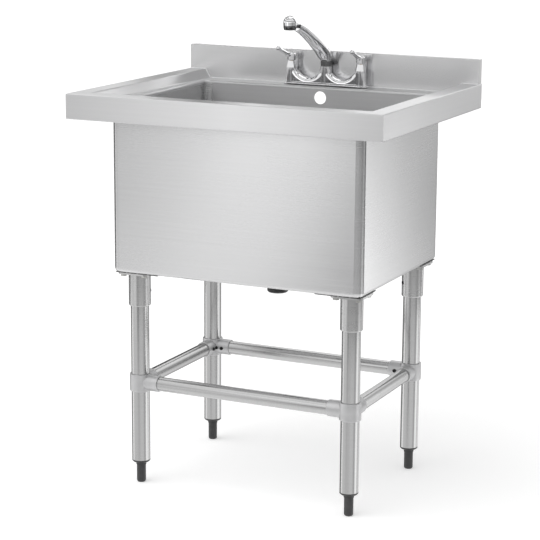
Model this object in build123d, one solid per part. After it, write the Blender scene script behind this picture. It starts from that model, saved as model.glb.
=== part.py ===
from build123d import *
import os
from math import cos, radians, sin, sqrt

# Free-standing stainless steel utility sink with a deck-mounted bridge mixer tap.
# Millimetres. +Z is up, the front faces -Y and +X is on the right, seen from the front.
# The origin is on the floor, under the middle of the worktop.

# ---------------------------------------------------------------- worktop
TOP_WIDTH = 740.0            # over the side aprons
TOP_DEPTH = 600.0            # front apron to back panel
RIM_HEIGHT = 900.0           # floor to the raised rim
SHEET = 1.2                  # gauge of the worktop, splashback and bowl
APRON_HEIGHT = 56.0          # rim to the folded bottom edge
BACK_APRON = 38.0            # rim to the lower edge of the back panel
APRON_RETURN = 14.0          # hem turned inwards under the apron
RIM_FLAT = 42.0              # flat top of the raised rim
RIM_SLOPE_RUN = 12.0         # plan width of the slope inside the rim
RIM_DROP = 21.0              # rim down to the recessed deck
APRON_FOLD_R = 2.5           # outside radius of the apron's folds
RIM_FOLD_R = 5.0             # radius of the folds at the top and the foot of the slope
DECK_LAND = 3.0              # deck carried by the rim pressing past the slope's fold

# ---------------------------------------------------------------- splashback
SPLASH_HEIGHT = 58.0         # above the rim
SPLASH_DEPTH = 20.0          # front face to back face
SPLASH_END_INSET = 1.5       # each end inside the rim's side face
SPLASH_FOLD_R = 2.5

# ---------------------------------------------------------------- bowl
BOWL_SIDE_INSET = 71.0       # apron face to the bowl's outer side wall
BOWL_FRONT_INSET = 69.0
BOWL_BACK_INSET = 73.0
BOWL_DEPTH = 380.0           # deck down to the underside of the bowl
BOWL_CORNER_R = 17.0         # upright corners, outside
BOWL_FLOOR_R = 10.0          # edge between walls and floor, outside
BOWL_LIP_R = 5.0             # rolled edge where the deck turns down into the bowl
COLLAR_HEIGHT = 8.0          # deck down to the weld between its collar and the bowl
OVERFLOW_D = 30.0
OVERFLOW_DROP = 25.0         # deck down to the centre of the overflow hole
WASTE_RECESS_D = 92.0        # pressed seat for the waste flange
WASTE_RECESS_DEPTH = 4.0
WASTE_HOLE_D = 52.0

# ---------------------------------------------------------------- legs
LEG_SIDE_INSET = 41.0        # bowl's outer side wall to a leg's centre
LEG_FRONT_INSET = 51.0
LEG_BACK_INSET = 47.0
LEG_D = 41.3
LEG_WALL = 1.2
LEG_PLATE_X = 104.0          # reinforcing plate under the bowl
LEG_PLATE_Y = 84.0
LEG_PLATE_T = 2.0
LEG_PLATE_INSET = 16.0       # plate centre, towards the middle of the bowl from the leg
SOCKET_FLANGE = 74.0
SOCKET_FLANGE_T = 5.0
SOCKET_FLANGE_R = 10.0
SOCKET_D = 49.5
SOCKET_DROP = 82.0           # underside of the bowl to the socket's mouth
SOCKET_WEB = 7.0             # solid end above the leg
SOCKET_MOUTH_R = 2.4
TUBE_FIT = 0.15              # radial play of every tube in its socket
BOLT_D = 8.0
BOLT_HEAD_AF = 13.0
BOLT_HEAD_H = 5.3
BOLT_PITCH = 52.0
BOLT_PLAY = 0.2              # radial play of the bolts in the flange and the plate
GRUB_D = 8.0
GRUB_LENGTH = 5.0
GRUB_HEX_AF = 4.0
GRUB_HEX_DEPTH = 2.5
GRUB_FIT = 0.05
SOCKET_GRUB_DROP = 50.0      # underside of the bowl to the socket's grub screw

# ---------------------------------------------------------------- bracing
BRACE_D = 31.8
BRACE_WALL = 1.2
BRACE_HEIGHT = 238.0         # floor to the braces' centre lines
CONNECTOR_D = 48.5           # collar round the leg
CONNECTOR_HEIGHT = 40.0
CONNECTOR_ARM_D = 37.0
CONNECTOR_ARM = 50.0         # leg centre to the arm's mouth
CONNECTOR_EDGE_R = 1.4
BRACE_END_GAP = 1.0          # brace end to the connector's collar
ARM_GRUB_INSET = 17.0        # grub screw behind the arm's mouth

# ---------------------------------------------------------------- feet
FOOT_HEIGHT = 42.0           # floor to the shoulder under the bush
FOOT_D = 20.8
FOOT_TOE_R = 4.5
FOOT_THREAD_D = 12.0
FOOT_THREAD_LENGTH = 44.0
FOOT_FIT = 0.05
BUSH_FLANGE_T = 5.5
BUSH_BOSS_D = 23.0
BUSH_BOSS_H = 7.5
BUSH_PLUG_LENGTH = 26.0
BUSH_EDGE = 2.5              # chamfer under the bush's flange

# ---------------------------------------------------------------- waste
WASTE_FLANGE_D = 82.0
WASTE_FLANGE_T = 1.5
WASTE_THROAT_D = 38.0
STRAINER_BAR = 3.5
STRAINER_SPOKES = 3
WASTE_SEAL_T = 2.0
WASTE_CUP_D = 70.0
WASTE_CUP_H = 14.0
WASTE_TAIL_D = 47.8
WASTE_TAIL_WALL = 4.0
WASTE_TAIL_LENGTH = 42.0
WASTE_TAIL_CHAMFER = 2.5
WASTE_SCREW_D = 6.0
WASTE_SCREW_HEAD_D = 14.0
WASTE_SCREW_HEAD_H = 3.0
WASTE_SCREW_LENGTH = 34.0
WASTE_PLAY = 0.3

# ---------------------------------------------------------------- tap
TAP_SPAN = 176.0             # between the two tails
TAP_SETBACK = 23.0           # tap centre line in front of the splashback
TAP_GASKET_T = 1.5
TAP_GASKET_INSET = 1.0       # gasket inside the foot's edge
TAP_FOOT_OVERHANG = 18.0     # foot of the body past the tail centres
TAP_FOOT_WIDTH = 36.0
TAP_FOOT_H = 3.5
TAP_WAIST_H = 2.5            # shadow groove over the foot
TAP_WAIST_INSET = 2.5
TAP_COLUMN_D = 28.5
TAP_COLUMN_H = 36.0          # deck to the top of a valve column
TAP_BOSS_D = 27.0
TAP_BOSS_H = 46.0            # deck to the top of the spout boss
TAP_SADDLE_H = 18.0          # deck to the lowest point between column and boss
TAP_SADDLE_LAND = 2.0        # saddle's ends clear of the column and the boss
TAP_COLUMN_STEP = 3.0        # bridge below the column's top, at the column
TAP_BOSS_STEP = 6.0          # bridge below the column's top, at the boss
TAP_BRIDGE_WIDTH = 25.0
TAP_BRIDGE_R = 11.0
TAIL_D = 20.95
TAIL_LENGTH = 48.0           # below the deck's top face
TAIL_BORE = 11.0
TAIL_RELIEF = 2.0            # groove between the hose's thread and the back nut's thread
TAIL_RELIEF_DEPTH = 0.9
TAIL_RELIEF_GAP = 0.5        # groove below the back nut
TAIL_HOLE_D = 24.0           # hole in the deck
TAIL_WASHER_D = 34.0
TAIL_WASHER_T = 2.0
TAIL_NUT_AF = 30.0
TAIL_NUT_H = 8.0
TAIL_NUT_FIT = 0.1
WATERWAY_D = 5.0
CARTRIDGE_D = 18.0
CARTRIDGE_DEPTH = 22.0
CARTRIDGE_HEAD_H = 6.0
CARTRIDGE_HEAD_AF = 16.0
CARTRIDGE_FIT = 0.1
SPINDLE_D = 8.0
SPINDLE_FIT = 0.05
BONNET_H = 19.0
BONNET_FOOT_D = 25.5
BONNET_TOP_D = 19.0
BONNET_WALL = 1.8
BONNET_GROOVE = 1.6          # shadow line where the bonnet meets the column
LEVER_GAP = 0.8              # lever hub over the bonnet
LEVER_HUB_D = 21.0
LEVER_HUB_H = 17.0
LEVER_REACH = 62.0           # hub centre to the end of the lever
LEVER_RISE = 24.0            # degrees above level
LEVER_SPLAY = {"left": 12.0, "right": 0.0}   # degrees outward of straight ahead, when closed
LEVER_NECK_D = 10.6
LEVER_WRIST_D = 8.4
LEVER_BEAD = 1.15            # bead over the neck, as a ratio
LEVER_KNOB_D = 11.8
LEVER_CAP_D = 11.0
LEVER_CAP_H = 2.4
LEVER_CAP_DOME = 0.6         # rounded share of the cap's height
SPOUT_NUT_D = 23.6
SPOUT_NUT_H = 12.5
SPOUT_SHANK_D = 18.0
SPOUT_SHANK_LENGTH = 28.0    # below the top of the boss
SPOUT_FIT = 0.05
SPOUT_BORE_GAP = 1.0         # bore of the boss below the shank's end
SPOUT_GAP = 0.3              # spout shoulder over the nut
ORING_SECTION = 2.4
ORING_SPACING = 9.0
SPOUT_STATIONS = [           # forward of the swivel axis, rise over the nut, lean from upright, diameter
    (1.5, 0.0, 0.0, 25.0),
    (6.0, 9.5, 26.0, 30.0),
    (15.0, 19.5, 42.0, 33.0),
    (28.0, 29.5, 51.0, 33.4),
    (46.0, 40.3, 56.5, 32.4),
    (68.0, 52.2, 60.8, 30.8),
    (92.0, 64.6, 63.4, 29.4),
    (118.0, 77.0, 65.8, 28.2),
    (145.0, 88.2, 69.6, 27.2),
    (172.0, 97.0, 74.5, 26.4),
    (203.0, 103.4, 78.5, 25.6),
]
SPOUT_HEAD_D = 31.0
SPOUT_MOUTH_DROP = 5.7       # centre of the head down to its mouth
SPOUT_SKIRT_D = 30.6
AERATOR_H = 10.5
AERATOR_TOP_D = 29.4
AERATOR_MOUTH_D = 26.0
AERATOR_SHOULDER = 3.0
AERATOR_BORE = 24.0
AERATOR_THREAD_H = 5.0
AERATOR_THREAD_GAP = 1.0     # housing's end below the end of its bore
AERATOR_INSERT_H = 4.0
AERATOR_INSERT_LIFT = 2.0
MESH_HOLE_D = 1.6
MESH_RINGS = 3
MESH_HOLE_COUNT = 6          # holes in the innermost ring; each further ring has as many more

# ---------------------------------------------------------------- drawing aids
CUT = 1.0                    # cutting shapes run past the faces that they cut
TOUCH = 0.01                 # band in which an edge counts as lying on a level

# ---------------------------------------------------------------- derived levels and places
DECK_Z = RIM_HEIGHT - RIM_DROP
APRON_Z = RIM_HEIGHT - APRON_HEIGHT
BOWL_Z = DECK_Z - BOWL_DEPTH
COLLAR_Z = DECK_Z - COLLAR_HEIGHT
SPLASH_TOP_Z = RIM_HEIGHT + SPLASH_HEIGHT
SPLASH_Y = TOP_DEPTH / 2 - SPLASH_DEPTH
BACK_PANEL_Y = TOP_DEPTH / 2 - SHEET
SLOPE_FOOT = RIM_FLAT + RIM_SLOPE_RUN
PLATE_Z = BOWL_Z - LEG_PLATE_T
SOCKET_Z = BOWL_Z - SOCKET_DROP
LEG_TOP_Z = PLATE_Z - SOCKET_WEB
LEG_X = TOP_WIDTH / 2 - BOWL_SIDE_INSET - LEG_SIDE_INSET
LEG_FRONT_Y = -TOP_DEPTH / 2 + BOWL_FRONT_INSET + LEG_FRONT_INSET
LEG_BACK_Y = TOP_DEPTH / 2 - BOWL_BACK_INSET - LEG_BACK_INSET
BUSH_BOSS_Z = FOOT_HEIGHT
BUSH_FLANGE_Z = BUSH_BOSS_Z + BUSH_BOSS_H
LEG_BOTTOM_Z = BUSH_FLANGE_Z + BUSH_FLANGE_T
TAP_Y = SPLASH_Y - TAP_SETBACK
TAP_BODY_Z = DECK_Z + TAP_GASKET_T
COLUMN_TOP_Z = DECK_Z + TAP_COLUMN_H
BOSS_TOP_Z = DECK_Z + TAP_BOSS_H
BONNET_TOP_Z = COLUMN_TOP_Z + BONNET_H
LEVER_Z = BONNET_TOP_Z + LEVER_GAP
SPOUT_ROOT_Z = BOSS_TOP_Z + SPOUT_NUT_H + SPOUT_GAP
BOWL_FLOOR_Z = BOWL_Z + SHEET
RECESS_Z = BOWL_Z - WASTE_RECESS_DEPTH
CORNERS = {"front_left": (-1, -1), "front_right": (1, -1), "back_left": (-1, 1), "back_right": (1, 1)}
SIDES = {"left": -1, "right": 1}


def at(shape, x=0.0, y=0.0, z=0.0):
    """Move a shape that was drawn round the origin to its place."""
    return Pos(x, y, z) * shape


def upright(radius, low, high):
    """A cylinder on the Z axis between two heights."""
    return at(Cylinder(radius, high - low), z=(low + high) / 2)


def ring(outer, inner, low, high):
    """A tube on the Z axis between two heights."""
    return upright(outer, low, high) - upright(inner, low - CUT, high + CUT)


def hex_prism(across_flats, low, high):
    """A hexagonal bar on the Z axis between two heights."""
    outline = RegularPolygon(across_flats / 2, 6, major_radius=False)
    return at(extrude(outline, high - low), z=low)


def slab(x_low, x_high, y_low, y_high, z_low, z_high):
    """A plain block between two corners."""
    size = (x_high - x_low, y_high - y_low, z_high - z_low)
    block = Box(*size)
    return at(block, (x_low + x_high) / 2, (y_low + y_high) / 2, (z_low + z_high) / 2)


def turned(points):
    """Revolve a closed (radius, height) outline about the Z axis."""
    outline = Polyline(*[(radius, 0, height) for radius, height in points], close=True)
    return revolve(make_face(outline), Axis.Z)


def leg_place(corner):
    """Centre of a leg in plan."""
    side, end = CORNERS[corner]
    return side * LEG_X, (LEG_FRONT_Y if end < 0 else LEG_BACK_Y)


# ---------------------------------------------------------------- worktop
def rim_line():
    """Outer line of the pressing, from the hem under the apron to the deck: (inset, height)."""
    points = [
        (APRON_RETURN, APRON_Z),
        (0, APRON_Z),
        (0, RIM_HEIGHT),
        (RIM_FLAT, RIM_HEIGHT),
        (SLOPE_FOOT, DECK_Z),
        (SLOPE_FOOT + RIM_FOLD_R + DECK_LAND, DECK_Z),
    ]
    radii = [APRON_FOLD_R, APRON_FOLD_R, RIM_FOLD_R, RIM_FOLD_R]
    return points, radii


def rim_section():
    """Sheet metal section of the apron, rim and slope."""
    points, radii = rim_line()
    inner = [
        (APRON_RETURN, APRON_Z + SHEET),
        (SHEET, APRON_Z + SHEET),
        (SHEET, RIM_HEIGHT - SHEET),
    ]
    slope = sqrt(RIM_SLOPE_RUN ** 2 + RIM_DROP ** 2)
    turn_inset = SHEET * (slope - RIM_SLOPE_RUN) / RIM_DROP
    inner += [
        (RIM_FLAT - turn_inset, RIM_HEIGHT - SHEET),
        (SLOPE_FOOT - turn_inset, DECK_Z - SHEET),
        (SLOPE_FOOT + RIM_FOLD_R + DECK_LAND, DECK_Z - SHEET),
    ]
    inner_radii = [
        APRON_FOLD_R - SHEET,
        APRON_FOLD_R - SHEET,
        RIM_FOLD_R - SHEET,
        RIM_FOLD_R + SHEET,
    ]
    outer_wire = FilletPolyline(*points, radius=radii)
    inner_wire = FilletPolyline(*inner, radius=inner_radii)
    ends = [Line(outer_wire @ 0, inner_wire @ 0), Line(outer_wire @ 1, inner_wire @ 1)]
    return make_face(Wire([*outer_wire.edges(), *inner_wire.edges(), *[end.edge() for end in ends]]))


def rim_solid():
    """The rim along the left, front and right, with mitred front corners."""
    half = TOP_WIDTH / 2
    front = -TOP_DEPTH / 2
    path = Polyline((-half, BACK_PANEL_Y, 0), (-half, front, 0), (half, front, 0), (half, BACK_PANEL_Y, 0))
    start = Plane(origin=(-half, BACK_PANEL_Y, 0), x_dir=(1, 0, 0), z_dir=(0, -1, 0))
    return sweep(start * rim_section(), path=path, transition=Transition.RIGHT)


def bowl_outline(inset):
    """Plan of the bowl, drawn in from its outer face by a wall thickness."""
    width = TOP_WIDTH - 2 * BOWL_SIDE_INSET - 2 * inset
    depth = TOP_DEPTH - BOWL_FRONT_INSET - BOWL_BACK_INSET - 2 * inset
    middle = (BOWL_FRONT_INSET - BOWL_BACK_INSET) / 2
    return at(RectangleRounded(width, depth, BOWL_CORNER_R - inset), y=middle)


def bowl_prism(inset, low, high):
    """Upright prism on the bowl's plan."""
    return at(extrude(bowl_outline(inset), high - low), z=low)


def tail_places():
    """Plan positions of the two tap tails."""
    return [(side * TAP_SPAN / 2, TAP_Y) for side in SIDES.values()]


def opening_edges(deck, height, half, front):
    """Edges on a level that run round the bowl and not round the deck's outline."""
    level = deck.edges().filter_by_position(Axis.Z, height - TOUCH, height + TOUCH)
    spots = [(edge, edge.center()) for edge in level]
    inside = [(edge, spot) for edge, spot in spots if abs(spot.X) < half - CUT]
    return [edge for edge, spot in inside if front + CUT < spot.Y < BACK_PANEL_Y - CUT]


def make_worktop():
    """Rim, recessed deck and the collar that turns down into the bowl, in one pressing."""
    half = TOP_WIDTH / 2 - SLOPE_FOOT - RIM_FOLD_R - DECK_LAND
    front = -TOP_DEPTH / 2 + SLOPE_FOOT + RIM_FOLD_R + DECK_LAND
    deck = slab(-half, half, front, BACK_PANEL_Y, DECK_Z - SHEET, DECK_Z)
    deck = deck + bowl_prism(0, COLLAR_Z, DECK_Z - SHEET / 2)
    deck = fillet(opening_edges(deck, DECK_Z - SHEET, half, front), BOWL_LIP_R - SHEET)
    deck = deck - bowl_prism(SHEET, COLLAR_Z - CUT, DECK_Z + CUT)
    deck = fillet(opening_edges(deck, DECK_Z, half, front), BOWL_LIP_R)
    for x, y in tail_places():
        deck = deck - at(Cylinder(TAIL_HOLE_D / 2, 4 * SHEET), x, y, DECK_Z)
    return rim_solid() + deck


def rim_envelope():
    """Everything under the rim's top face at the left side, for cutting the splashback to it."""
    points, radii = rim_line()
    line = FilletPolyline(*points[1:], radius=radii[1:])
    foot = line @ 1
    low = APRON_Z - CUT
    close = Polyline((foot.X, foot.Y), (foot.X, low), (0, low), (0, APRON_Z))
    face = make_face(Wire([*line.edges(), *close.edges()]))
    start = Plane(origin=(-TOP_WIDTH / 2, TOP_DEPTH / 2 + CUT, 0), x_dir=(1, 0, 0), z_dir=(0, -1, 0))
    return extrude(start * face, 2 * SPLASH_DEPTH)


def make_splashback():
    """Folded box section behind the deck, closed at both ends and open underneath."""
    half = TOP_WIDTH / 2 - SPLASH_END_INSET
    back = TOP_DEPTH / 2
    box = slab(-half, half, SPLASH_Y, back, DECK_Z, SPLASH_TOP_Z)
    top = box.faces().sort_by(Axis.Z)[-1]
    box = fillet(top.edges(), SPLASH_FOLD_R)
    inner = half - SHEET
    hollow = slab(-inner, inner, SPLASH_Y + SHEET, BACK_PANEL_Y, DECK_Z - CUT, SPLASH_TOP_Z - SHEET)
    envelope = rim_envelope()
    shell = box - hollow - envelope - mirror(envelope, Plane.YZ)
    panel = slab(-TOP_WIDTH / 2, TOP_WIDTH / 2, BACK_PANEL_Y, back, RIM_HEIGHT - BACK_APRON, RIM_HEIGHT)
    return shell + panel


# ---------------------------------------------------------------- bowl
def bowl_back_plate():
    """Flat of the bowl's back wall, between its rounded corners and above its rounded floor edge."""
    half = TOP_WIDTH / 2 - BOWL_SIDE_INSET - BOWL_CORNER_R
    back = TOP_DEPTH / 2 - BOWL_BACK_INSET
    return slab(-half, half, back - SHEET, back, BOWL_Z + BOWL_FLOOR_R, COLLAR_Z)


def make_bowl_back():
    """Back wall of the bowl, a plate welded in flush, with the overflow hole."""
    punch = Rot(90, 0, 0) * Cylinder(OVERFLOW_D / 2, 4 * SHEET)
    return bowl_back_plate() - at(punch, 0, TOP_DEPTH / 2 - BOWL_BACK_INSET, DECK_Z - OVERFLOW_DROP)


def make_bowl():
    """Deep bowl with rounded corners and a pressed seat for the waste, open where its back wall goes."""
    outer = bowl_prism(0, BOWL_Z, COLLAR_Z)
    outer = fillet(outer.faces().sort_by(Axis.Z)[0].edges(), BOWL_FLOOR_R)
    inner = bowl_prism(SHEET, BOWL_FLOOR_Z, COLLAR_Z)
    inner = fillet(inner.faces().sort_by(Axis.Z)[0].edges(), BOWL_FLOOR_R - SHEET)
    shell = outer - inner
    seat_low = RECESS_Z
    shell = shell + upright(WASTE_RECESS_D / 2 + SHEET, seat_low, BOWL_FLOOR_Z)
    shell = shell - upright(WASTE_RECESS_D / 2, seat_low + SHEET, BOWL_FLOOR_Z + CUT)
    shell = shell - upright(WASTE_HOLE_D / 2, seat_low - CUT, BOWL_FLOOR_Z + CUT)
    return shell - bowl_back_plate()


# ---------------------------------------------------------------- legs
def bolt_places():
    """Four bolts about a leg's centre."""
    half = BOLT_PITCH / 2
    return [(x * half, y * half) for x in (-1, 1) for y in (-1, 1)]


def make_leg_plate(corner):
    """Reinforcing plate spot-welded under the bowl, tapped for the socket's bolts."""
    side, end = CORNERS[corner]
    x, y = leg_place(corner)
    plate = Box(LEG_PLATE_X, LEG_PLATE_Y, LEG_PLATE_T)
    plate = at(plate, x - side * LEG_PLATE_INSET, y, BOWL_Z - LEG_PLATE_T / 2)
    for dx, dy in bolt_places():
        plate = plate - at(Cylinder(BOLT_D / 2 + BOLT_PLAY, 3 * LEG_PLATE_T), x + dx, y + dy, PLATE_Z)
    return plate


def inward_angle(corner):
    """Direction from a leg towards the middle of the sink, in degrees."""
    side, end = CORNERS[corner]
    return {(-1, -1): 45, (1, -1): 135, (1, 1): 225, (-1, 1): 315}[(side, end)]


def grub_screw(reach):
    """Hexagon socket grub screw along +X, whose tip is at the given distance from the axis."""
    body = upright(GRUB_D / 2, reach, reach + GRUB_LENGTH)
    body = body - hex_prism(GRUB_HEX_AF, reach + GRUB_LENGTH - GRUB_HEX_DEPTH, reach + GRUB_LENGTH + CUT)
    return Rot(0, 90, 0) * body


def grub_hole(start, reach):
    """Tapped hole along +X for a grub screw."""
    return Rot(0, 90, 0) * upright(GRUB_D / 2 + GRUB_FIT, start, reach)


def make_leg_socket(corner):
    """Cast flange with a socket for the top of the leg."""
    flange = extrude(RectangleRounded(SOCKET_FLANGE, SOCKET_FLANGE, SOCKET_FLANGE_R), SOCKET_FLANGE_T)
    flange = at(flange, z=PLATE_Z - SOCKET_FLANGE_T)
    sleeve = upright(SOCKET_D / 2, SOCKET_Z, PLATE_Z - SOCKET_FLANGE_T)
    sleeve = fillet(sleeve.faces().sort_by(Axis.Z)[0].edges(), SOCKET_MOUTH_R)
    socket = flange + sleeve - upright(LEG_D / 2 + TUBE_FIT, SOCKET_Z - CUT, LEG_TOP_Z)
    for dx, dy in bolt_places():
        socket = socket - at(Cylinder(BOLT_D / 2 + BOLT_PLAY, 3 * SOCKET_FLANGE_T), dx, dy, PLATE_Z)
    hole = Rot(0, 0, inward_angle(corner)) * grub_hole(LEG_D / 4, SOCKET_D)
    socket = socket - at(hole, z=BOWL_Z - SOCKET_GRUB_DROP)
    return at(socket, *leg_place(corner))


def make_socket_bolts():
    """Hexagon head bolts that hold the four sockets up against their plates."""
    head_top = PLATE_Z - SOCKET_FLANGE_T
    bolt = hex_prism(BOLT_HEAD_AF, head_top - BOLT_HEAD_H, head_top)
    bolt = bolt + upright(BOLT_D / 2, head_top, BOWL_Z - BOLT_PLAY)
    bolts = []
    for corner in CORNERS:
        x, y = leg_place(corner)
        bolts += [at(bolt, x + dx, y + dy) for dx, dy in bolt_places()]
    return bolts


def make_socket_grub_screws():
    """One grub screw in each socket, bearing on the leg."""
    screws = []
    for corner in CORNERS:
        screw = Rot(0, 0, inward_angle(corner)) * grub_screw(LEG_D / 2 + GRUB_FIT)
        screws.append(at(screw, *leg_place(corner), BOWL_Z - SOCKET_GRUB_DROP))
    return screws


def make_leg(corner):
    """Round leg tube."""
    return at(ring(LEG_D / 2, LEG_D / 2 - LEG_WALL, LEG_BOTTOM_Z, LEG_TOP_Z), *leg_place(corner))


# ---------------------------------------------------------------- bracing
def arm_turns(corner):
    """Directions of a connector's two arms, in degrees: across the sink, then front to back."""
    side, end = CORNERS[corner]
    return (0 if side < 0 else 180), (90 if end < 0 else -90)


def make_connector(corner):
    """Cast three-way corner: a collar round the leg and an arm for each brace."""
    half = CONNECTOR_HEIGHT / 2
    collar = upright(CONNECTOR_D / 2, -half, half)
    collar = fillet(collar.edges(), CONNECTOR_EDGE_R)
    arm = Rot(0, 90, 0) * upright(CONNECTOR_ARM_D / 2, 0, CONNECTOR_ARM)
    arm = fillet(arm.faces().sort_by(Axis.X)[-1].edges(), CONNECTOR_EDGE_R)
    bore = Rot(0, 90, 0) * upright(BRACE_D / 2 + TUBE_FIT, CONNECTOR_D / 2, CONNECTOR_ARM + CUT)
    screw_hole = grub_hole(BRACE_D / 4, CONNECTOR_ARM_D)
    body = collar
    turns = arm_turns(corner)
    for turn in turns:
        body = body + Rot(0, 0, turn) * arm
    body = body - upright(LEG_D / 2 + TUBE_FIT, -CONNECTOR_HEIGHT, CONNECTOR_HEIGHT)
    for turn in turns:
        body = body - Rot(0, 0, turn) * bore
    for turn, facing in zip(turns, reversed(turns)):
        place = Rot(0, 0, turn) * Pos(CONNECTOR_ARM - ARM_GRUB_INSET, 0, 0)
        body = body - place * (Rot(0, 0, facing - turn) * screw_hole)
    body = body - Rot(0, 0, inward_angle(corner)) * grub_hole(LEG_D / 4, CONNECTOR_D)
    return at(body, *leg_place(corner), BRACE_HEIGHT)


def make_connector_grub_screws():
    """Three grub screws in each connector: one on the leg, one on each brace."""
    screws = []
    for corner in CORNERS:
        turns = arm_turns(corner)
        place = Pos(*leg_place(corner), BRACE_HEIGHT)
        screws.append(place * (Rot(0, 0, inward_angle(corner)) * grub_screw(LEG_D / 2 + GRUB_FIT)))
        for turn, facing in zip(turns, reversed(turns)):
            seat = Rot(0, 0, turn) * Pos(CONNECTOR_ARM - ARM_GRUB_INSET, 0, 0)
            screws.append(place * seat * (Rot(0, 0, facing - turn) * grub_screw(BRACE_D / 2 + GRUB_FIT)))
    return screws


def make_brace(name):
    """Round brace tube between two neighbouring connectors."""
    across = name in ("front", "back")
    span = 2 * LEG_X if across else LEG_BACK_Y - LEG_FRONT_Y
    length = span - CONNECTOR_D - 2 * BRACE_END_GAP
    tube = at(ring(BRACE_D / 2, BRACE_D / 2 - BRACE_WALL, -length / 2, length / 2))
    if across:
        y = LEG_BACK_Y if name == "back" else LEG_FRONT_Y
        return at(Rot(0, 90, 0) * tube, 0, y, BRACE_HEIGHT)
    return at(Rot(90, 0, 0) * tube, LEG_X * SIDES[name], (LEG_FRONT_Y + LEG_BACK_Y) / 2, BRACE_HEIGHT)


# ---------------------------------------------------------------- feet
def make_leg_bush(corner):
    """Plastic bush pushed into the leg's end, threaded for the foot."""
    flange = upright(LEG_D / 2, BUSH_FLANGE_Z, LEG_BOTTOM_Z)
    flange = chamfer(flange.faces().sort_by(Axis.Z)[0].edges(), BUSH_EDGE)
    plug = upright(LEG_D / 2 - LEG_WALL - TUBE_FIT, LEG_BOTTOM_Z, LEG_BOTTOM_Z + BUSH_PLUG_LENGTH)
    bush = flange + plug + upright(BUSH_BOSS_D / 2, BUSH_BOSS_Z, BUSH_FLANGE_Z)
    plug_top = LEG_BOTTOM_Z + BUSH_PLUG_LENGTH
    bush = bush - upright(FOOT_THREAD_D / 2 + FOOT_FIT, BUSH_BOSS_Z - CUT, plug_top + CUT)
    return at(bush, *leg_place(corner))


def make_foot(corner):
    """Screw-adjusted bullet foot with its threaded stem."""
    pad = upright(FOOT_D / 2, 0, FOOT_HEIGHT)
    pad = fillet(pad.faces().sort_by(Axis.Z)[0].edges(), FOOT_TOE_R)
    stem = upright(FOOT_THREAD_D / 2, FOOT_HEIGHT, FOOT_HEIGHT + FOOT_THREAD_LENGTH)
    return at(pad + stem, *leg_place(corner))


# ---------------------------------------------------------------- waste
def waste_floor():
    """Top face of the pressed seat."""
    return RECESS_Z + SHEET


def make_waste_flange():
    """Stainless strainer flange that sits in the bowl's recess, with its throat and spokes."""
    low = waste_floor() + WASTE_SEAL_T
    top = low + WASTE_FLANGE_T
    throat_low = RECESS_Z - WASTE_CUP_H / 2
    flange = ring(WASTE_FLANGE_D / 2, WASTE_THROAT_D / 2, low, top)
    throat = ring(WASTE_THROAT_D / 2 + WASTE_FLANGE_T, WASTE_THROAT_D / 2, throat_low, low)
    hub = upright(WASTE_SCREW_HEAD_D / 2, throat_low, throat_low + 2 * WASTE_FLANGE_T)
    grid = hub
    for spoke in range(STRAINER_SPOKES):
        bar = slab(0, WASTE_THROAT_D / 2 + WASTE_FLANGE_T / 2, -STRAINER_BAR / 2, STRAINER_BAR / 2,
                   throat_low, throat_low + 2 * WASTE_FLANGE_T)
        grid = grid + Rot(0, 0, 360 / STRAINER_SPOKES * spoke) * bar
    hole = upright(WASTE_SCREW_D / 2 + WASTE_PLAY, throat_low - CUT, top)
    return flange + throat + grid - hole


def make_waste_seal_upper():
    """Rubber washer between the strainer flange and the bowl."""
    low = waste_floor()
    return ring(WASTE_FLANGE_D / 2 - WASTE_SEAL_T, WASTE_HOLE_D / 2, low, low + WASTE_SEAL_T)


def make_waste_seal_lower():
    """Rubber washer between the bowl and the waste body."""
    return ring(WASTE_CUP_D / 2, WASTE_HOLE_D / 2, RECESS_Z - WASTE_SEAL_T, RECESS_Z)


def waste_body_top():
    return RECESS_Z - WASTE_SEAL_T


def make_waste_body():
    """Plastic cup under the bowl with its threaded tail and the cross bar for the screw."""
    top = waste_body_top()
    shoulder = top - WASTE_CUP_H
    bottom = shoulder - WASTE_TAIL_LENGTH
    bore = WASTE_TAIL_D / 2 - WASTE_TAIL_WALL
    cup = upright(WASTE_CUP_D / 2, shoulder, top)
    cup = fillet(cup.faces().sort_by(Axis.Z)[0].edges(), WASTE_TAIL_WALL)
    tail = upright(WASTE_TAIL_D / 2, bottom, shoulder)
    tail = chamfer(tail.faces().sort_by(Axis.Z)[0].edges(), WASTE_TAIL_CHAMFER)
    body = cup + tail - upright(bore, bottom - CUT, top)
    body = body - upright(WASTE_HOLE_D / 2 - WASTE_PLAY, shoulder + WASTE_TAIL_WALL, top + CUT)
    bar_top = shoulder - WASTE_TAIL_WALL
    bar_half = WASTE_SCREW_HEAD_D / 2
    bar = slab(-bore - CUT, bore + CUT, -bar_half, bar_half, bar_top - WASTE_TAIL_WALL, bar_top)
    hole = upright(WASTE_SCREW_D / 2 + WASTE_PLAY / 2, bottom, top)
    return body + bar - hole


def make_waste_screw():
    """Centre screw that draws the flange and the body together."""
    seat = RECESS_Z - WASTE_CUP_H / 2 + 2 * WASTE_FLANGE_T
    head = upright(WASTE_SCREW_HEAD_D / 2 - WASTE_PLAY, seat, seat + WASTE_SCREW_HEAD_H)
    head = fillet(head.faces().sort_by(Axis.Z)[-1].edges(), WASTE_SCREW_HEAD_H / 3)
    slot = slab(-WASTE_SCREW_HEAD_D, WASTE_SCREW_HEAD_D, -WASTE_FLANGE_T / 2, WASTE_FLANGE_T / 2,
                seat + WASTE_SCREW_HEAD_H / 2, seat + WASTE_SCREW_HEAD_H + CUT)
    shank = upright(WASTE_SCREW_D / 2, seat - WASTE_SCREW_LENGTH, seat)
    return head + shank - slot


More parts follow.
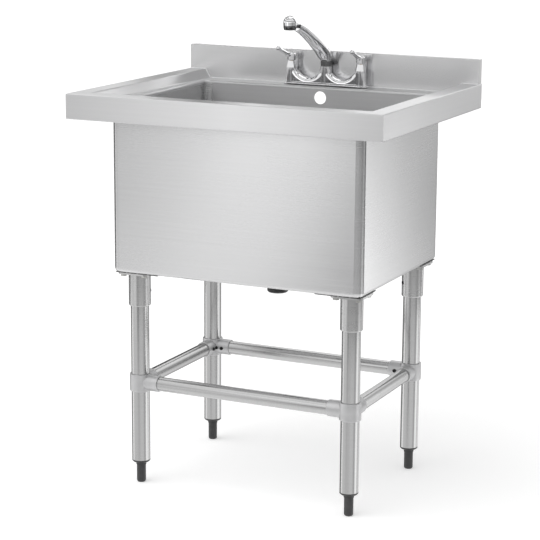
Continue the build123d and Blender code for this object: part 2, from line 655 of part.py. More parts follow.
# ---------------------------------------------------------------- tap body
def tap_stadium(overhang, width, low, high):
    """Round-ended slab along the tap's centre line."""
    outline = SlotOverall(TAP_SPAN + 2 * overhang, width)
    return at(extrude(outline, high - low), 0, TAP_Y, low)


def tap_bridge():
    """Bridge between the valve columns and the spout boss, dipping in a saddle on each side."""
    column_x = TAP_SPAN / 2
    column_edge = column_x - TAP_COLUMN_D / 2
    boss_edge = TAP_BOSS_D / 2
    low = TAP_BODY_Z + TAP_FOOT_H + TAP_WAIST_H
    column_z = COLUMN_TOP_Z - TAP_COLUMN_STEP
    boss_z = COLUMN_TOP_Z - TAP_BOSS_STEP
    saddle = ((column_edge + boss_edge) / 2, DECK_Z + TAP_SADDLE_H)
    land = TAP_SADDLE_LAND
    line = [
        Line((0, low), (column_x, low)),
        Line((column_x, low), (column_x, column_z)),
        Line((column_x, column_z), (column_edge - land, column_z)),
        ThreePointArc((column_edge - land, column_z), saddle, (boss_edge + land, boss_z)),
        Line((boss_edge + land, boss_z), (0, boss_z)),
        Line((0, boss_z), (0, low)),
    ]
    face = make_face(Wire([part.edge() for part in line]))
    plane = Plane(origin=(0, TAP_Y, 0), x_dir=(1, 0, 0), z_dir=(0, -1, 0))
    half = extrude(plane * face, TAP_BRIDGE_WIDTH / 2, both=True)
    curved = [e for e in half.edges() if e.geom_type == GeomType.CIRCLE]
    half = fillet(curved, TAP_BRIDGE_R)
    return half + mirror(half, Plane.YZ)


def tail_nut_z():
    """Lower face of the back nuts."""
    return DECK_Z - SHEET - TAIL_WASHER_T - TAIL_NUT_H


def make_tap_body():
    """Cast bridge body: foot, two valve columns, spout boss and the threaded tails."""
    foot_top = TAP_BODY_Z + TAP_FOOT_H
    waist_top = foot_top + TAP_WAIST_H
    foot = tap_stadium(TAP_FOOT_OVERHANG, TAP_FOOT_WIDTH, TAP_BODY_Z, foot_top)
    foot = fillet(foot.faces().sort_by(Axis.Z)[-1].edges(), TAP_FOOT_H / 3)
    inset = TAP_WAIST_INSET
    waist = tap_stadium(TAP_FOOT_OVERHANG - inset, TAP_FOOT_WIDTH - 2 * inset, foot_top, waist_top)
    body = foot + waist + tap_bridge()
    for x, y in tail_places():
        column = upright(TAP_COLUMN_D / 2, waist_top, COLUMN_TOP_Z)
        tail = upright(TAIL_D / 2, DECK_Z - TAIL_LENGTH, TAP_BODY_Z)
        body = body + at(column + tail, x, y)
    body = body + at(upright(TAP_BOSS_D / 2, waist_top, BOSS_TOP_Z), 0, TAP_Y)
    relief_z = tail_nut_z() - TAIL_RELIEF_GAP
    relief = ring(TAIL_D, TAIL_D / 2 - TAIL_RELIEF_DEPTH, relief_z - TAIL_RELIEF, relief_z)
    for x, y in tail_places():
        body = body - at(relief, x, y)
        bore = upright(TAIL_BORE / 2, DECK_Z - TAIL_LENGTH - CUT, COLUMN_TOP_Z)
        pocket = upright(CARTRIDGE_D / 2 + CARTRIDGE_FIT, COLUMN_TOP_Z - CARTRIDGE_DEPTH, COLUMN_TOP_Z + CUT)
        body = body - at(bore + pocket, x, y)
    bore_low = BOSS_TOP_Z - SPOUT_SHANK_LENGTH - SPOUT_BORE_GAP
    shank_bore = upright(SPOUT_SHANK_D / 2 + SPOUT_FIT, bore_low, BOSS_TOP_Z + CUT)
    body = body - at(shank_bore, 0, TAP_Y)
    channel_z = waist_top + WATERWAY_D / 2
    channel = Rot(0, 90, 0) * Cylinder(WATERWAY_D / 2, TAP_SPAN)
    drop = upright(WATERWAY_D / 2, channel_z, BOSS_TOP_Z - SPOUT_SHANK_LENGTH)
    return body - at(channel, 0, TAP_Y, channel_z) - at(drop, 0, TAP_Y)


def make_tap_gasket():
    """Rubber gasket between the tap's foot and the deck."""
    inset = TAP_GASKET_INSET
    gasket = tap_stadium(TAP_FOOT_OVERHANG - inset, TAP_FOOT_WIDTH - 2 * inset, DECK_Z, TAP_BODY_Z)
    for x, y in tail_places():
        gasket = gasket - at(Cylinder(TAIL_HOLE_D / 2, 4 * TAP_GASKET_T), x, y, DECK_Z)
    return gasket


def make_tail_washers():
    """One washer on each tail, under the deck."""
    top = DECK_Z - SHEET
    washer = ring(TAIL_WASHER_D / 2, TAIL_D / 2 + TAIL_NUT_FIT, top - TAIL_WASHER_T, top)
    return [at(washer, x, y) for x, y in tail_places()]


def make_tail_nuts():
    """Hexagon back nuts on the tails."""
    low = tail_nut_z()
    nut = hex_prism(TAIL_NUT_AF, low, low + TAIL_NUT_H)
    nut = nut - upright(TAIL_D / 2 + TAIL_NUT_FIT, low - CUT, low + TAIL_NUT_H + CUT)
    return [at(nut, x, y) for x, y in tail_places()]


# ---------------------------------------------------------------- valves and levers
def valve_x(side):
    return SIDES[side] * TAP_SPAN / 2


def make_cartridge(side):
    """Quarter-turn ceramic valve cartridge in its column."""
    low = COLUMN_TOP_Z - CARTRIDGE_DEPTH
    body = upright(CARTRIDGE_D / 2, low, COLUMN_TOP_Z)
    head = hex_prism(CARTRIDGE_HEAD_AF, COLUMN_TOP_Z, COLUMN_TOP_Z + CARTRIDGE_HEAD_H)
    port = upright(TAIL_BORE / 4, low - CUT, low + CARTRIDGE_DEPTH / 2)
    head_top = COLUMN_TOP_Z + CARTRIDGE_HEAD_H
    spindle_hole = upright(SPINDLE_D / 2 + SPINDLE_FIT, low + CARTRIDGE_DEPTH / 2, head_top + CUT)
    return at(body + head - port - spindle_hole, valve_x(side), TAP_Y)


def make_spindle(side):
    """Valve spindle, from the ceramic disc up into the lever's hub."""
    low = COLUMN_TOP_Z - CARTRIDGE_DEPTH / 2
    return at(upright(SPINDLE_D / 2, low, LEVER_Z + LEVER_HUB_H / 2), valve_x(side), TAP_Y)


def make_bonnet(side):
    """Conical chrome shroud over the cartridge's head."""
    foot_r = BONNET_FOOT_D / 2
    groove_r = foot_r - BONNET_GROOVE / 2
    top_r = BONNET_TOP_D / 2
    groove_z = COLUMN_TOP_Z + BONNET_GROOVE
    shell = turned([
        (0, COLUMN_TOP_Z),
        (groove_r, COLUMN_TOP_Z),
        (groove_r, groove_z),
        (foot_r, groove_z),
        (foot_r, groove_z + BONNET_GROOVE),
        (top_r, BONNET_TOP_Z),
        (0, BONNET_TOP_Z),
    ])
    hollow = turned([
        (0, COLUMN_TOP_Z - CUT),
        (groove_r - BONNET_WALL / 2, COLUMN_TOP_Z - CUT),
        (groove_r - BONNET_WALL / 2, groove_z),
        (top_r - BONNET_WALL, BONNET_TOP_Z - BONNET_WALL),
        (0, BONNET_TOP_Z - BONNET_WALL),
    ])
    opening = upright(SPINDLE_D / 2 + BONNET_WALL / 2, BONNET_TOP_Z - 2 * BONNET_WALL, BONNET_TOP_Z + CUT)
    return at(shell - hollow - opening, valve_x(side), TAP_Y)


def lever_arm():
    """Turned lever with a bead behind a slim wrist and a ball end, along +X from the hub's axis."""
    neck = LEVER_NECK_D / 2
    wrist = LEVER_WRIST_D / 2
    knob = LEVER_KNOB_D / 2
    bead_x = LEVER_HUB_D / 2 + knob
    points = [
        (0, neck),
        (bead_x - neck, wrist),
        (bead_x, neck * LEVER_BEAD),
        (bead_x + neck, wrist),
        (LEVER_REACH - 2 * knob, wrist),
    ]
    outline = Polyline(*points, (LEVER_REACH - knob, wrist), (LEVER_REACH - knob, 0), (0, 0), close=True)
    return revolve(make_face(outline), Axis.X) + at(Sphere(knob), LEVER_REACH - knob)


def make_lever(side):
    """Lever handle: domed hub on the spindle and a forward arm."""
    radius = LEVER_HUB_D / 2
    hub = upright(radius, LEVER_Z, LEVER_Z + LEVER_HUB_H)
    hub = fillet(hub.faces().sort_by(Axis.Z)[-1].edges(), LEVER_HUB_H / 4)
    hub = chamfer(hub.faces().sort_by(Axis.Z)[0].edges(), LEVER_HUB_H / 10)
    arm = Rot(0, 0, -90) * (Rot(0, -LEVER_RISE, 0) * lever_arm())
    arm = at(arm, z=LEVER_Z + LEVER_HUB_H / 2)
    socket = upright(SPINDLE_D / 2 + SPINDLE_FIT, LEVER_Z - CUT, LEVER_Z + LEVER_HUB_H / 2)
    lever = Rot(0, 0, SIDES[side] * LEVER_SPLAY[side]) * (hub + arm - socket)
    return at(lever, valve_x(side), TAP_Y)


def make_lever_cap(side):
    """Domed cap over the lever's fixing screw."""
    low = LEVER_Z + LEVER_HUB_H
    cap = upright(LEVER_CAP_D / 2, low, low + LEVER_CAP_H)
    cap = fillet(cap.faces().sort_by(Axis.Z)[-1].edges(), LEVER_CAP_H * LEVER_CAP_DOME)
    return at(cap, valve_x(side), TAP_Y)


# ---------------------------------------------------------------- spout
def make_spout_nut():
    """Knurled nut that holds the spout down on its boss."""
    nut = ring(SPOUT_NUT_D / 2, SPOUT_SHANK_D / 2 + SPOUT_GAP, BOSS_TOP_Z, BOSS_TOP_Z + SPOUT_NUT_H)
    return at(nut, 0, TAP_Y)


def spout_head():
    """Forward reach and rise of the outlet head's centre."""
    return SPOUT_STATIONS[-1][0], SPOUT_STATIONS[-1][1]


def make_spout():
    """Tapered swivel spout with its shank, ring grooves and outlet head."""
    sections = []
    for forward, rise, lean, size in SPOUT_STATIONS:
        normal = (0, -sin(radians(lean)), cos(radians(lean)))
        sections.append(Plane(origin=(0, -forward, rise), x_dir=(1, 0, 0), z_dir=normal) * Circle(size / 2))
    tube = loft(sections)
    forward, rise = spout_head()
    mouth_z = rise - SPOUT_MOUTH_DROP
    head = at(Sphere(SPOUT_HEAD_D / 2), 0, -forward, rise)
    head = head + at(upright(SPOUT_SKIRT_D / 2, mouth_z, rise), 0, -forward)
    reach = SPOUT_HEAD_D
    below = slab(-reach, reach, -reach, reach, mouth_z - reach, mouth_z)
    shank = upright(SPOUT_SHANK_D / 2, -SPOUT_GAP - SPOUT_NUT_H - SPOUT_SHANK_LENGTH, 0)
    spout = tube + head + shank - at(below, 0, -forward)
    spout = spout - at(upright(AERATOR_BORE / 2, mouth_z - CUT, mouth_z + AERATOR_THREAD_H), 0, -forward)
    groove_r = SPOUT_SHANK_D / 2 - ORING_SECTION + SPOUT_FIT
    for groove_z in oring_heights():
        low = groove_z - SPOUT_ROOT_Z - ORING_SECTION / 2
        spout = spout - ring(SPOUT_SHANK_D, groove_r, low, low + ORING_SECTION)
    return at(spout, 0, TAP_Y, SPOUT_ROOT_Z)


def oring_heights():
    """Heights of the sealing rings on the spout's shank."""
    first = BOSS_TOP_Z - ORING_SPACING
    return [first, first - ORING_SPACING]


def make_spout_orings():
    """Two sealing rings in the shank's grooves."""
    section = ORING_SECTION / 2 - SPOUT_FIT / 2
    radius = SPOUT_SHANK_D / 2 - section
    return [at(Torus(radius, section), 0, TAP_Y, height) for height in oring_heights()]


def outlet_place():
    """Plan position and height of the spout's mouth."""
    forward, rise = spout_head()
    return TAP_Y - forward, SPOUT_ROOT_Z + rise - SPOUT_MOUTH_DROP


def make_aerator():
    """Outlet housing screwed into the spout's mouth."""
    y, mouth_z = outlet_place()
    bottom = mouth_z - AERATOR_H
    thread_top = mouth_z + AERATOR_THREAD_H - AERATOR_THREAD_GAP
    bore = AERATOR_BORE / 2 - BONNET_WALL
    shell = turned([
        (bore, bottom),
        (AERATOR_MOUTH_D / 2, bottom),
        (AERATOR_TOP_D / 2, mouth_z - AERATOR_SHOULDER),
        (AERATOR_TOP_D / 2, mouth_z),
        (AERATOR_BORE / 2 - TAIL_NUT_FIT, mouth_z),
        (AERATOR_BORE / 2 - TAIL_NUT_FIT, thread_top),
        (bore, thread_top),
    ])
    return at(shell, 0, y)


def make_aerator_insert():
    """Perforated insert inside the outlet housing."""
    y, mouth_z = outlet_place()
    low = mouth_z - AERATOR_H + AERATOR_INSERT_LIFT
    radius = AERATOR_BORE / 2 - BONNET_WALL - TAIL_NUT_FIT
    insert = upright(radius, low, low + AERATOR_INSERT_H)
    for number in range(MESH_RINGS):
        count = MESH_HOLE_COUNT * (number + 1)
        for hole in range(count):
            turn = radians(360 / count * hole)
            reach = (radius - MESH_HOLE_D) * (number + 1) / MESH_RINGS
            punch = upright(MESH_HOLE_D / 2, low - CUT, low + AERATOR_INSERT_H + CUT)
            insert = insert - at(punch, reach * cos(turn), reach * sin(turn))
    return at(insert, 0, y)


# ---------------------------------------------------------------- nodes
def nodes():
    """Every sub-part under its own name."""
    parts = {
        "worktop": make_worktop(),
        "splashback": make_splashback(),
        "bowl": make_bowl(),
        "bowl_back": make_bowl_back(),
        "socket_bolts": make_socket_bolts(),
        "socket_grub_screws": make_socket_grub_screws(),
        "connector_grub_screws": make_connector_grub_screws(),
        "waste_flange": make_waste_flange(),
        "waste_seal_upper": make_waste_seal_upper(),
        "waste_seal_lower": make_waste_seal_lower(),
        "waste_body": make_waste_body(),
        "waste_screw": make_waste_screw(),
        "tap_body": make_tap_body(),
        "tap_gasket": make_tap_gasket(),
        "tail_washers": make_tail_washers(),
        "tail_nuts": make_tail_nuts(),
        "spout_nut": make_spout_nut(),
        "spout": make_spout(),
        "spout_orings": make_spout_orings(),
        "aerator_housing": make_aerator(),
        "aerator_insert": make_aerator_insert(),
    }
    for corner in CORNERS:
        parts["leg_plate_" + corner] = make_leg_plate(corner)
        parts["leg_socket_" + corner] = make_leg_socket(corner)
        parts["leg_" + corner] = make_leg(corner)
        parts["corner_connector_" + corner] = make_connector(corner)
        parts["leg_bush_" + corner] = make_leg_bush(corner)
        parts["foot_" + corner] = make_foot(corner)
    for name in ("front", "back", "left", "right"):
        parts["brace_" + name] = make_brace(name)
    for side in SIDES:
        parts["cartridge_" + side] = make_cartridge(side)
        parts["spindle_" + side] = make_spindle(side)
        parts["bonnet_" + side] = make_bonnet(side)
        parts["lever_" + side] = make_lever(side)
        parts["lever_cap_" + side] = make_lever_cap(side)
    return parts


def main():
    os.makedirs("parts", exist_ok=True)
    for name, shape in nodes().items():
        solids = shape if isinstance(shape, list) else [shape]
        bodies = [solid for part in solids for solid in part.solids()]
        export_step(Compound(bodies), os.path.join("parts", name + ".step"))


if __name__ == "__main__":
    main()
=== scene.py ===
"""Finishes a stainless steel utility sink: metal surfaces, welds, threads, grips and a plain studio."""
import math

import bpy
from mathutils import Matrix, Vector


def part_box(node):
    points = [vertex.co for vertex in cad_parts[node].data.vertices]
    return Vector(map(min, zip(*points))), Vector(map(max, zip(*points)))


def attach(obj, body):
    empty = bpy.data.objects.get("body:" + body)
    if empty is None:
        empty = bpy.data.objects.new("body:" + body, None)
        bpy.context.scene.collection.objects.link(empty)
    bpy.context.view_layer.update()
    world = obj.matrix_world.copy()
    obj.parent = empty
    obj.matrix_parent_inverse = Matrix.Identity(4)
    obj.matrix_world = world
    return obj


bl_info = {
    "name": "Utility Sink Finishes",
    "version": (1, 0, 0),
    "blender": (4, 5, 0),
    "location": "3D View > Sidebar > Utility Sink",
    "description": "Surfaces, welds, threads and a studio for a stainless steel utility sink",
    "category": "Object",
}

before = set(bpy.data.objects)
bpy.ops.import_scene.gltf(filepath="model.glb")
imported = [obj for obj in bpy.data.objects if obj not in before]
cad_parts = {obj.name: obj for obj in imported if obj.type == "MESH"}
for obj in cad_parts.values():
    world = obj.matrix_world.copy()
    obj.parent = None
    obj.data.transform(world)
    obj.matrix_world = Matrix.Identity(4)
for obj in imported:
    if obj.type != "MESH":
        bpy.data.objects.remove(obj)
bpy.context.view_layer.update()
MM = 0.001

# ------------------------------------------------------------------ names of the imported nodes
FEET = ("front_left", "front_right", "back_left", "back_right")
SIDES = ("left", "right")
BRACES_ACROSS = ("brace_front", "brace_back")
BRACES_ALONG = ("brace_left", "brace_right")
SEALS = ("waste_seal_upper", "waste_seal_lower", "tap_gasket", "spout_orings")
CHROMED = ("tap_body", "bonnet_left", "bonnet_right", "lever_left", "lever_right",
           "lever_cap_left", "lever_cap_right", "spout")
DARK_CHROMED = ("spout_nut", "aerator_housing")

# ------------------------------------------------------------------ sizes that a node's box doesn't give
RIM_FLAT = 42 * MM            # flat top of the raised rim
RIM_WIDTH = 54 * MM           # the flat and the slope inside it
SEAM_INSET = 2 * MM           # end of the weld bead inside the rim's side face
TACK_DROP = 0.6 * MM          # tack welds below the top of the leg plates
FOOT_PITCH = 1.75 * MM        # thread on the foot's stem
FOOT_STEM_R = 6 * MM
FOOT_STEM_MARGIN = 0.4 * MM   # round the stem, within which the thread is drawn
WASTE_TAIL_R = 23.9 * MM
WASTE_THREAD_START = 3.5 * MM  # above the lower end of the waste body
WASTE_THREAD_END = 39 * MM
WASTE_RIDGE = 0.55 * MM
TAP_TAIL_R = 10.475 * MM
TAP_THREAD_START = 2 * MM     # above the lower end of the tails
TAP_THREAD_GAP = 3.5 * MM     # end of the thread below the nuts
TAP_RIDGE = 0.4 * MM
NUT_RIB_SHARE = 0.7           # ribs' share of the spout nut's height
NUT_RIB_R = 0.45 * MM
GRIP_LIFT = 3.75 * MM         # middle of the grip above the outlet's lower end
GRIP_INSET = 0.85 * MM        # ribs' circle inside the housing's widest radius
GRIP_RIB_H = 5.5 * MM
GRIP_RIB_R = 0.42 * MM
GRIP_LEAN = math.atan2(1.7, 7.5)  # taper of the outlet housing


def low_high(node):
    """Lowest and highest corner of a node's box."""
    return [Vector(corner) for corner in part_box(node)]


def middle(node):
    """Centre of a node's box."""
    low, high = low_high(node)
    return (low + high) / 2


# ------------------------------------------------------------------ settings shown in the sidebar
class SinkSurfaces(bpy.types.PropertyGroup):
    """Colours and grain of the finishes."""

    steel: bpy.props.FloatVectorProperty(
        name="Steel", description="Colour of the brushed stainless sheet", subtype="COLOR",
        size=3, min=0, max=1, default=(0.68, 0.68, 0.685))
    tube: bpy.props.FloatVectorProperty(
        name="Tube", description="Colour of the polished stainless tube", subtype="COLOR",
        size=3, min=0, max=1, default=(0.50, 0.50, 0.50))
    casting: bpy.props.FloatVectorProperty(
        name="Casting", description="Colour of the satin corner castings", subtype="COLOR",
        size=3, min=0, max=1, default=(0.57, 0.57, 0.575))
    chrome: bpy.props.FloatVectorProperty(
        name="Chrome", description="Colour of the chrome plate", subtype="COLOR",
        size=3, min=0, max=1, default=(0.88, 0.88, 0.89))
    plastic: bpy.props.FloatVectorProperty(
        name="Plastic", description="Colour of the feet, bushes and waste body", subtype="COLOR",
        size=3, min=0, max=1, default=(0.040, 0.040, 0.041))
    grain: bpy.props.FloatProperty(
        name="Grain", description="Spacing of the brushed lines", unit="LENGTH",
        min=0.0001, max=0.01, default=0.0008)
    streak: bpy.props.FloatProperty(
        name="Streak", description="Spacing of the broader brushed streaks", unit="LENGTH",
        min=0.001, max=0.1, default=0.007)
    relief: bpy.props.FloatProperty(
        name="Relief", description="Depth of the brushed lines", unit="LENGTH",
        min=0, max=0.001, default=0.000012)


class SinkDetails(bpy.types.PropertyGroup):
    """Sizes of the small made pieces."""

    seam_radius: bpy.props.FloatProperty(
        name="Seam radius", description="Radius of the dressed weld along the splashback's foot", unit="LENGTH",
        min=0.0005, max=0.005, default=0.0019)
    tack_radius: bpy.props.FloatProperty(
        name="Tack radius", description="Radius of the tack welds round the leg plates", unit="LENGTH",
        min=0.001, max=0.006, default=0.0016)
    tack_count: bpy.props.IntProperty(
        name="Tack count", description="Tack welds round one leg plate", min=4, max=40, default=14)
    waste_pitch: bpy.props.FloatProperty(
        name="Waste thread pitch", description="Pitch of the thread on the waste's tail", unit="LENGTH",
        min=0.001, max=0.004, default=0.00231)
    tail_pitch: bpy.props.FloatProperty(
        name="Tail thread pitch", description="Pitch of the thread on the tap's tails", unit="LENGTH",
        min=0.001, max=0.004, default=0.001814)
    grip_count: bpy.props.IntProperty(
        name="Grip ribs", description="Ribs round the outlet housing", min=8, max=80, default=36)
    collar_count: bpy.props.IntProperty(
        name="Collar ribs", description="Ribs round the spout's nut", min=8, max=80, default=44)


class SinkStudio(bpy.types.PropertyGroup):
    """Floor, light and camera."""

    floor: bpy.props.FloatVectorProperty(
        name="Floor", description="Colour of the floor", subtype="COLOR",
        size=3, min=0, max=1, default=(0.86, 0.86, 0.86))
    key: bpy.props.FloatProperty(
        name="Key light", description="Strength of the broad soft light from the front left",
        min=0, max=20, default=1.5)
    ambient: bpy.props.FloatProperty(
        name="Ambient", description="Strength of the even light from all round", min=0, max=2, default=0.55)
    overhead: bpy.props.FloatProperty(
        name="Overhead", description="Brightness overhead, as metal reflects it", min=0, max=5, default=1.35)
    cards: bpy.props.FloatProperty(
        name="Cards", description="Brightness of the cards and horizon, as metal reflects them",
        min=0, max=5, default=0.88)
    below: bpy.props.FloatProperty(
        name="Below", description="Brightness below the horizon, which metal reflects in the floor's place",
        min=0, max=5, default=1.25)
    lens: bpy.props.FloatProperty(
        name="Lens", description="Focal length of the camera, in millimetres", min=20, max=300, default=123.915)
    azimuth: bpy.props.FloatProperty(
        name="Azimuth", description="Camera's turn to the right of straight ahead", subtype="ANGLE",
        default=math.radians(25.236))
    elevation: bpy.props.FloatProperty(
        name="Elevation", description="Camera's height angle", subtype="ANGLE", default=math.radians(12.457))
    roll: bpy.props.FloatProperty(
        name="Roll", description="Camera's roll", subtype="ANGLE", default=math.radians(0.363))
    distance: bpy.props.FloatProperty(
        name="Distance", description="Camera to the aiming point", unit="LENGTH", default=4.2175)


# ------------------------------------------------------------------ node trees
class Tree:
    """A node tree, with short calls to add and join nodes."""

    def __init__(self, tree):
        self.tree = tree

    def feed(self, socket, value):
        """Join a socket to an input, or set a number on it."""
        if isinstance(value, bpy.types.NodeSocket):
            self.tree.links.new(value, socket)
        else:
            socket.default_value = value

    def add(self, kind, inputs=None, **settings):
        """Add a node, change its settings, then feed the inputs listed by name or number."""
        node = self.tree.nodes.new(kind)
        for key, value in settings.items():
            setattr(node, key, value)
        for key, value in (inputs or {}).items():
            self.feed(node.inputs[key], value)
        return node

    def math(self, operation, first, second=0.0):
        return self.add("ShaderNodeMath", {0: first, 1: second}, operation=operation).outputs[0]

    def split(self, vector):
        return self.add("ShaderNodeSeparateXYZ", {0: vector}).outputs

    def span(self, value, low, high, new_low, new_high):
        """Stretch a value's range onto another."""
        return self.add("ShaderNodeMapRange", {
            "Value": value, "From Min": low, "From Max": high,
            "To Min": new_low, "To Max": new_high}).outputs["Result"]


def empty_material(name):
    """A new material whose node tree is empty."""
    material = bpy.data.materials.new(name)
    material.use_nodes = True
    material.node_tree.nodes.clear()
    return material


def link_object(name, data):
    """A new object in the scene."""
    thing = bpy.data.objects.new(name, data)
    bpy.context.scene.collection.objects.link(thing)
    return thing


class Shader(Tree):
    """A surface material that takes its detail from the object's own coordinates."""

    def __init__(self, name):
        self.material = empty_material(name)
        super().__init__(self.material.node_tree)
        self.surface = self.add("ShaderNodeBsdfPrincipled")
        self.add("ShaderNodeOutputMaterial", {"Surface": self.surface.outputs["BSDF"]})
        self.place = self.add("ShaderNodeTexCoord").outputs["Object"]

    def bundle(self, x, y, z):
        return self.add("ShaderNodeCombineXYZ", {0: x, 1: y, 2: z}).outputs[0]

    def stretched(self, vector, scale):
        return self.add("ShaderNodeMapping", {"Vector": vector, "Scale": scale}).outputs[0]

    def noise(self, vector, scale=1.0, detail=2.0, roughness=0.5):
        return self.add("ShaderNodeTexNoise", {
            "Vector": vector, "Scale": scale, "Detail": detail, "Roughness": roughness}).outputs["Fac"]

    def blend_vector(self, share, first, second):
        return self.add("ShaderNodeMix", {"Factor": share, 4: first, 5: second}, data_type="VECTOR").outputs[1]

    def blend_colour(self, share, first, second):
        return self.add("ShaderNodeMix", {"Factor": share, 6: (*first, 1.0), 7: (*second, 1.0)},
                        data_type="RGBA").outputs[2]

    def mottle(self, pattern, colour, darkest, lightest):
        """A colour that a pattern makes a little darker and lighter."""
        share = self.span(pattern, 0.3, 0.7, 0, 1)
        return self.blend_colour(share, shade(colour, darkest), shade(colour, lightest))

    def relief(self, height, depth, strength=1.0, under=None):
        """A bump, laid over another one where that is given."""
        bump = self.add("ShaderNodeBump", {"Strength": strength, "Distance": depth, "Height": height})
        if under is not None:
            self.feed(bump.inputs["Normal"], under)
        return bump.outputs[0]

    def around(self, axis, strength):
        """Stretch highlights across a grain that runs round an axis or along it."""
        tangent = self.add("ShaderNodeTangent", direction_type="RADIAL", axis=axis)
        self.feed(self.surface.inputs["Tangent"], tangent.outputs[0])
        self.surface.inputs["Anisotropic"].default_value = strength
        self.surface.inputs["Anisotropic Rotation"].default_value = 0.25

    def finish(self, colour, roughness, normal, metallic):
        for name, value in (("Base Color", colour), ("Roughness", roughness),
                            ("Normal", normal), ("Metallic", metallic)):
            self.feed(self.surface.inputs[name], value)
        return self.material


def shade(colour, share):
    """A lighter or darker step of a colour."""
    return tuple(min(1.0, channel * share) for channel in colour)


def dress(names, material):
    """Give CAD nodes a material."""
    for name in names:
        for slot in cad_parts[name].material_slots:
            slot.material = material


# ------------------------------------------------------------------ finishes
LEVEL_FACE = 0.7              # upward share of a face's direction from which it counts as level


def sheet_grain(shader, settings, mitred):
    """Coordinates that run along the brushing on upright faces, the deck and the side rims."""
    x, y, z = shader.split(shader.place)
    facing = shader.split(shader.add("ShaderNodeTexCoord").outputs["Normal"])
    flat = shader.math("GREATER_THAN", shader.math("ABSOLUTE", facing[2]), LEVEL_FACE)
    along, across = 3.5, 1.0 / settings.grain

    def stretch(x_scale, y_scale, z_scale):
        scaled = ((x, x_scale), (y, y_scale), (z, z_scale))
        return shader.bundle(*(shader.math("MULTIPLY", value, scale) for value, scale in scaled))

    upright = stretch(along, along, across)
    level = stretch(along, across, along)
    if mitred:
        low, high = low_high("worktop")
        side = shader.math("SUBTRACT", high.x, shader.math("ABSOLUTE", x))
        front = shader.math("SUBTRACT", y, low.y)
        on_side = shader.math("LESS_THAN", side, shader.math("MINIMUM", front, RIM_WIDTH))
        level = shader.blend_vector(on_side, level, stretch(across, along, along))
    return shader.blend_vector(flat, upright, level)


def brushed_sheet(name, settings, colour, roughness, mitred=False):
    """Stainless sheet with fine brushed lines, broader streaks, handling marks and a slight waviness."""
    shader = Shader(name)
    grain = sheet_grain(shader, settings, mitred)
    lines = shader.noise(grain, detail=3.0, roughness=0.6)
    broad = shader.stretched(grain, (0.6, 0.6, 1.0))
    streaks = shader.noise(broad, scale=settings.grain / settings.streak, detail=3.0, roughness=0.55)
    marks = shader.noise(shader.place, scale=7.0, detail=4.0, roughness=0.55)
    tone = shader.math("ADD", shader.math("MULTIPLY", lines, 0.35), shader.math("MULTIPLY", streaks, 0.65))
    rough = shader.math("ADD", shader.span(lines, 0.25, 0.75, roughness - 0.02, roughness + 0.02),
                        shader.span(marks, 0.3, 0.7, -0.02, 0.02))
    waves = shader.relief(shader.noise(shader.place, scale=4.0, detail=1.0), 0.4 * MM)
    shader.around("Z", 0.92)
    normal = shader.relief(lines, settings.relief, under=waves)
    return shader.finish(shader.mottle(tone, colour, 0.975, 1.025), rough, normal, 1.0)


def polished_tube(name, settings, colour, axis, roughness=0.19):
    """Stainless tube with long drawn lines, polishing rings and light scuffs."""
    shader = Shader(name)
    long, fine = 5.0, 1.0 / settings.grain
    close, wide = 900.0, 12.0
    drawn = [long if letter == axis else fine for letter in "XYZ"]
    ringed = [close if letter == axis else wide for letter in "XYZ"]
    lines = shader.noise(shader.stretched(shader.place, drawn))
    rings = shader.noise(shader.stretched(shader.place, ringed))
    scuffs = shader.noise(shader.place, scale=22.0, detail=5.0, roughness=0.6)
    rough = shader.math("ADD", shader.span(scuffs, 0.35, 0.7, roughness - 0.01, roughness + 0.03),
                        shader.span(rings, 0.3, 0.7, -0.01, 0.01))
    shader.around(axis, 0.4)
    normal = shader.relief(lines, settings.relief, 0.25)
    return shader.finish(shader.mottle(rings, colour, 0.98, 1.02), rough, normal, 1.0)


def satin_casting(name, colour):
    """Tumbled casting: fine pits, soft cloudiness and brighter rubbed patches."""
    shader = Shader(name)
    pits = shader.noise(shader.place, scale=1.0 / (1.1 * MM), detail=3.0, roughness=0.6)
    clouds = shader.noise(shader.place, scale=45.0, detail=3.0)
    rough = shader.span(clouds, 0.3, 0.7, 0.47, 0.37)
    normal = shader.relief(pits, 0.12 * MM, 0.7)
    return shader.finish(shader.mottle(clouds, colour, 0.94, 1.05), rough, normal, 0.75)


def chrome_plate(name, colour, roughness=0.035):
    """Chrome over a polished casting, with a faint ripple and water haze."""
    shader = Shader(name)
    haze = shader.noise(shader.place, scale=130.0, detail=4.0, roughness=0.6)
    ripple = shader.noise(shader.place, scale=60.0, detail=1.0)
    rough = shader.span(haze, 0.35, 0.75, roughness, roughness + 0.05)
    normal = shader.relief(ripple, 0.12 * MM, 0.6)
    return shader.finish(shader.mottle(haze, colour, 0.97, 1.03), rough, normal, 1.0)


def plain_metal(name, colour, roughness, cell=1.5 * MM):
    """Small machined or plated metal with a fine turned texture."""
    shader = Shader(name)
    turned = shader.noise(shader.place, scale=1.0 / cell, detail=3.0, roughness=0.6)
    patches = shader.noise(shader.place, scale=160.0)
    rough = shader.span(turned, 0.3, 0.7, roughness - 0.05, roughness + 0.07)
    normal = shader.relief(turned, 0.06 * MM, 0.6)
    return shader.finish(shader.mottle(patches, colour, 0.85, 1.1), rough, normal, 1.0)


def plastic_look(shader, colour, smoothest, roughest):
    """Colour with scuffs and a little dust, roughness, and a fine spark texture."""
    spark = shader.noise(shader.place, scale=1600.0)
    scuffs = shader.noise(shader.place, scale=70.0, detail=5.0, roughness=0.65)
    dusty = shader.blend_colour(shader.span(scuffs, 0.45, 0.75, 0, 0.6), colour, shade(colour, 1.9))
    return dusty, shader.span(scuffs, 0.3, 0.7, smoothest, roughest), shader.relief(spark, 0.08 * MM, 0.7)


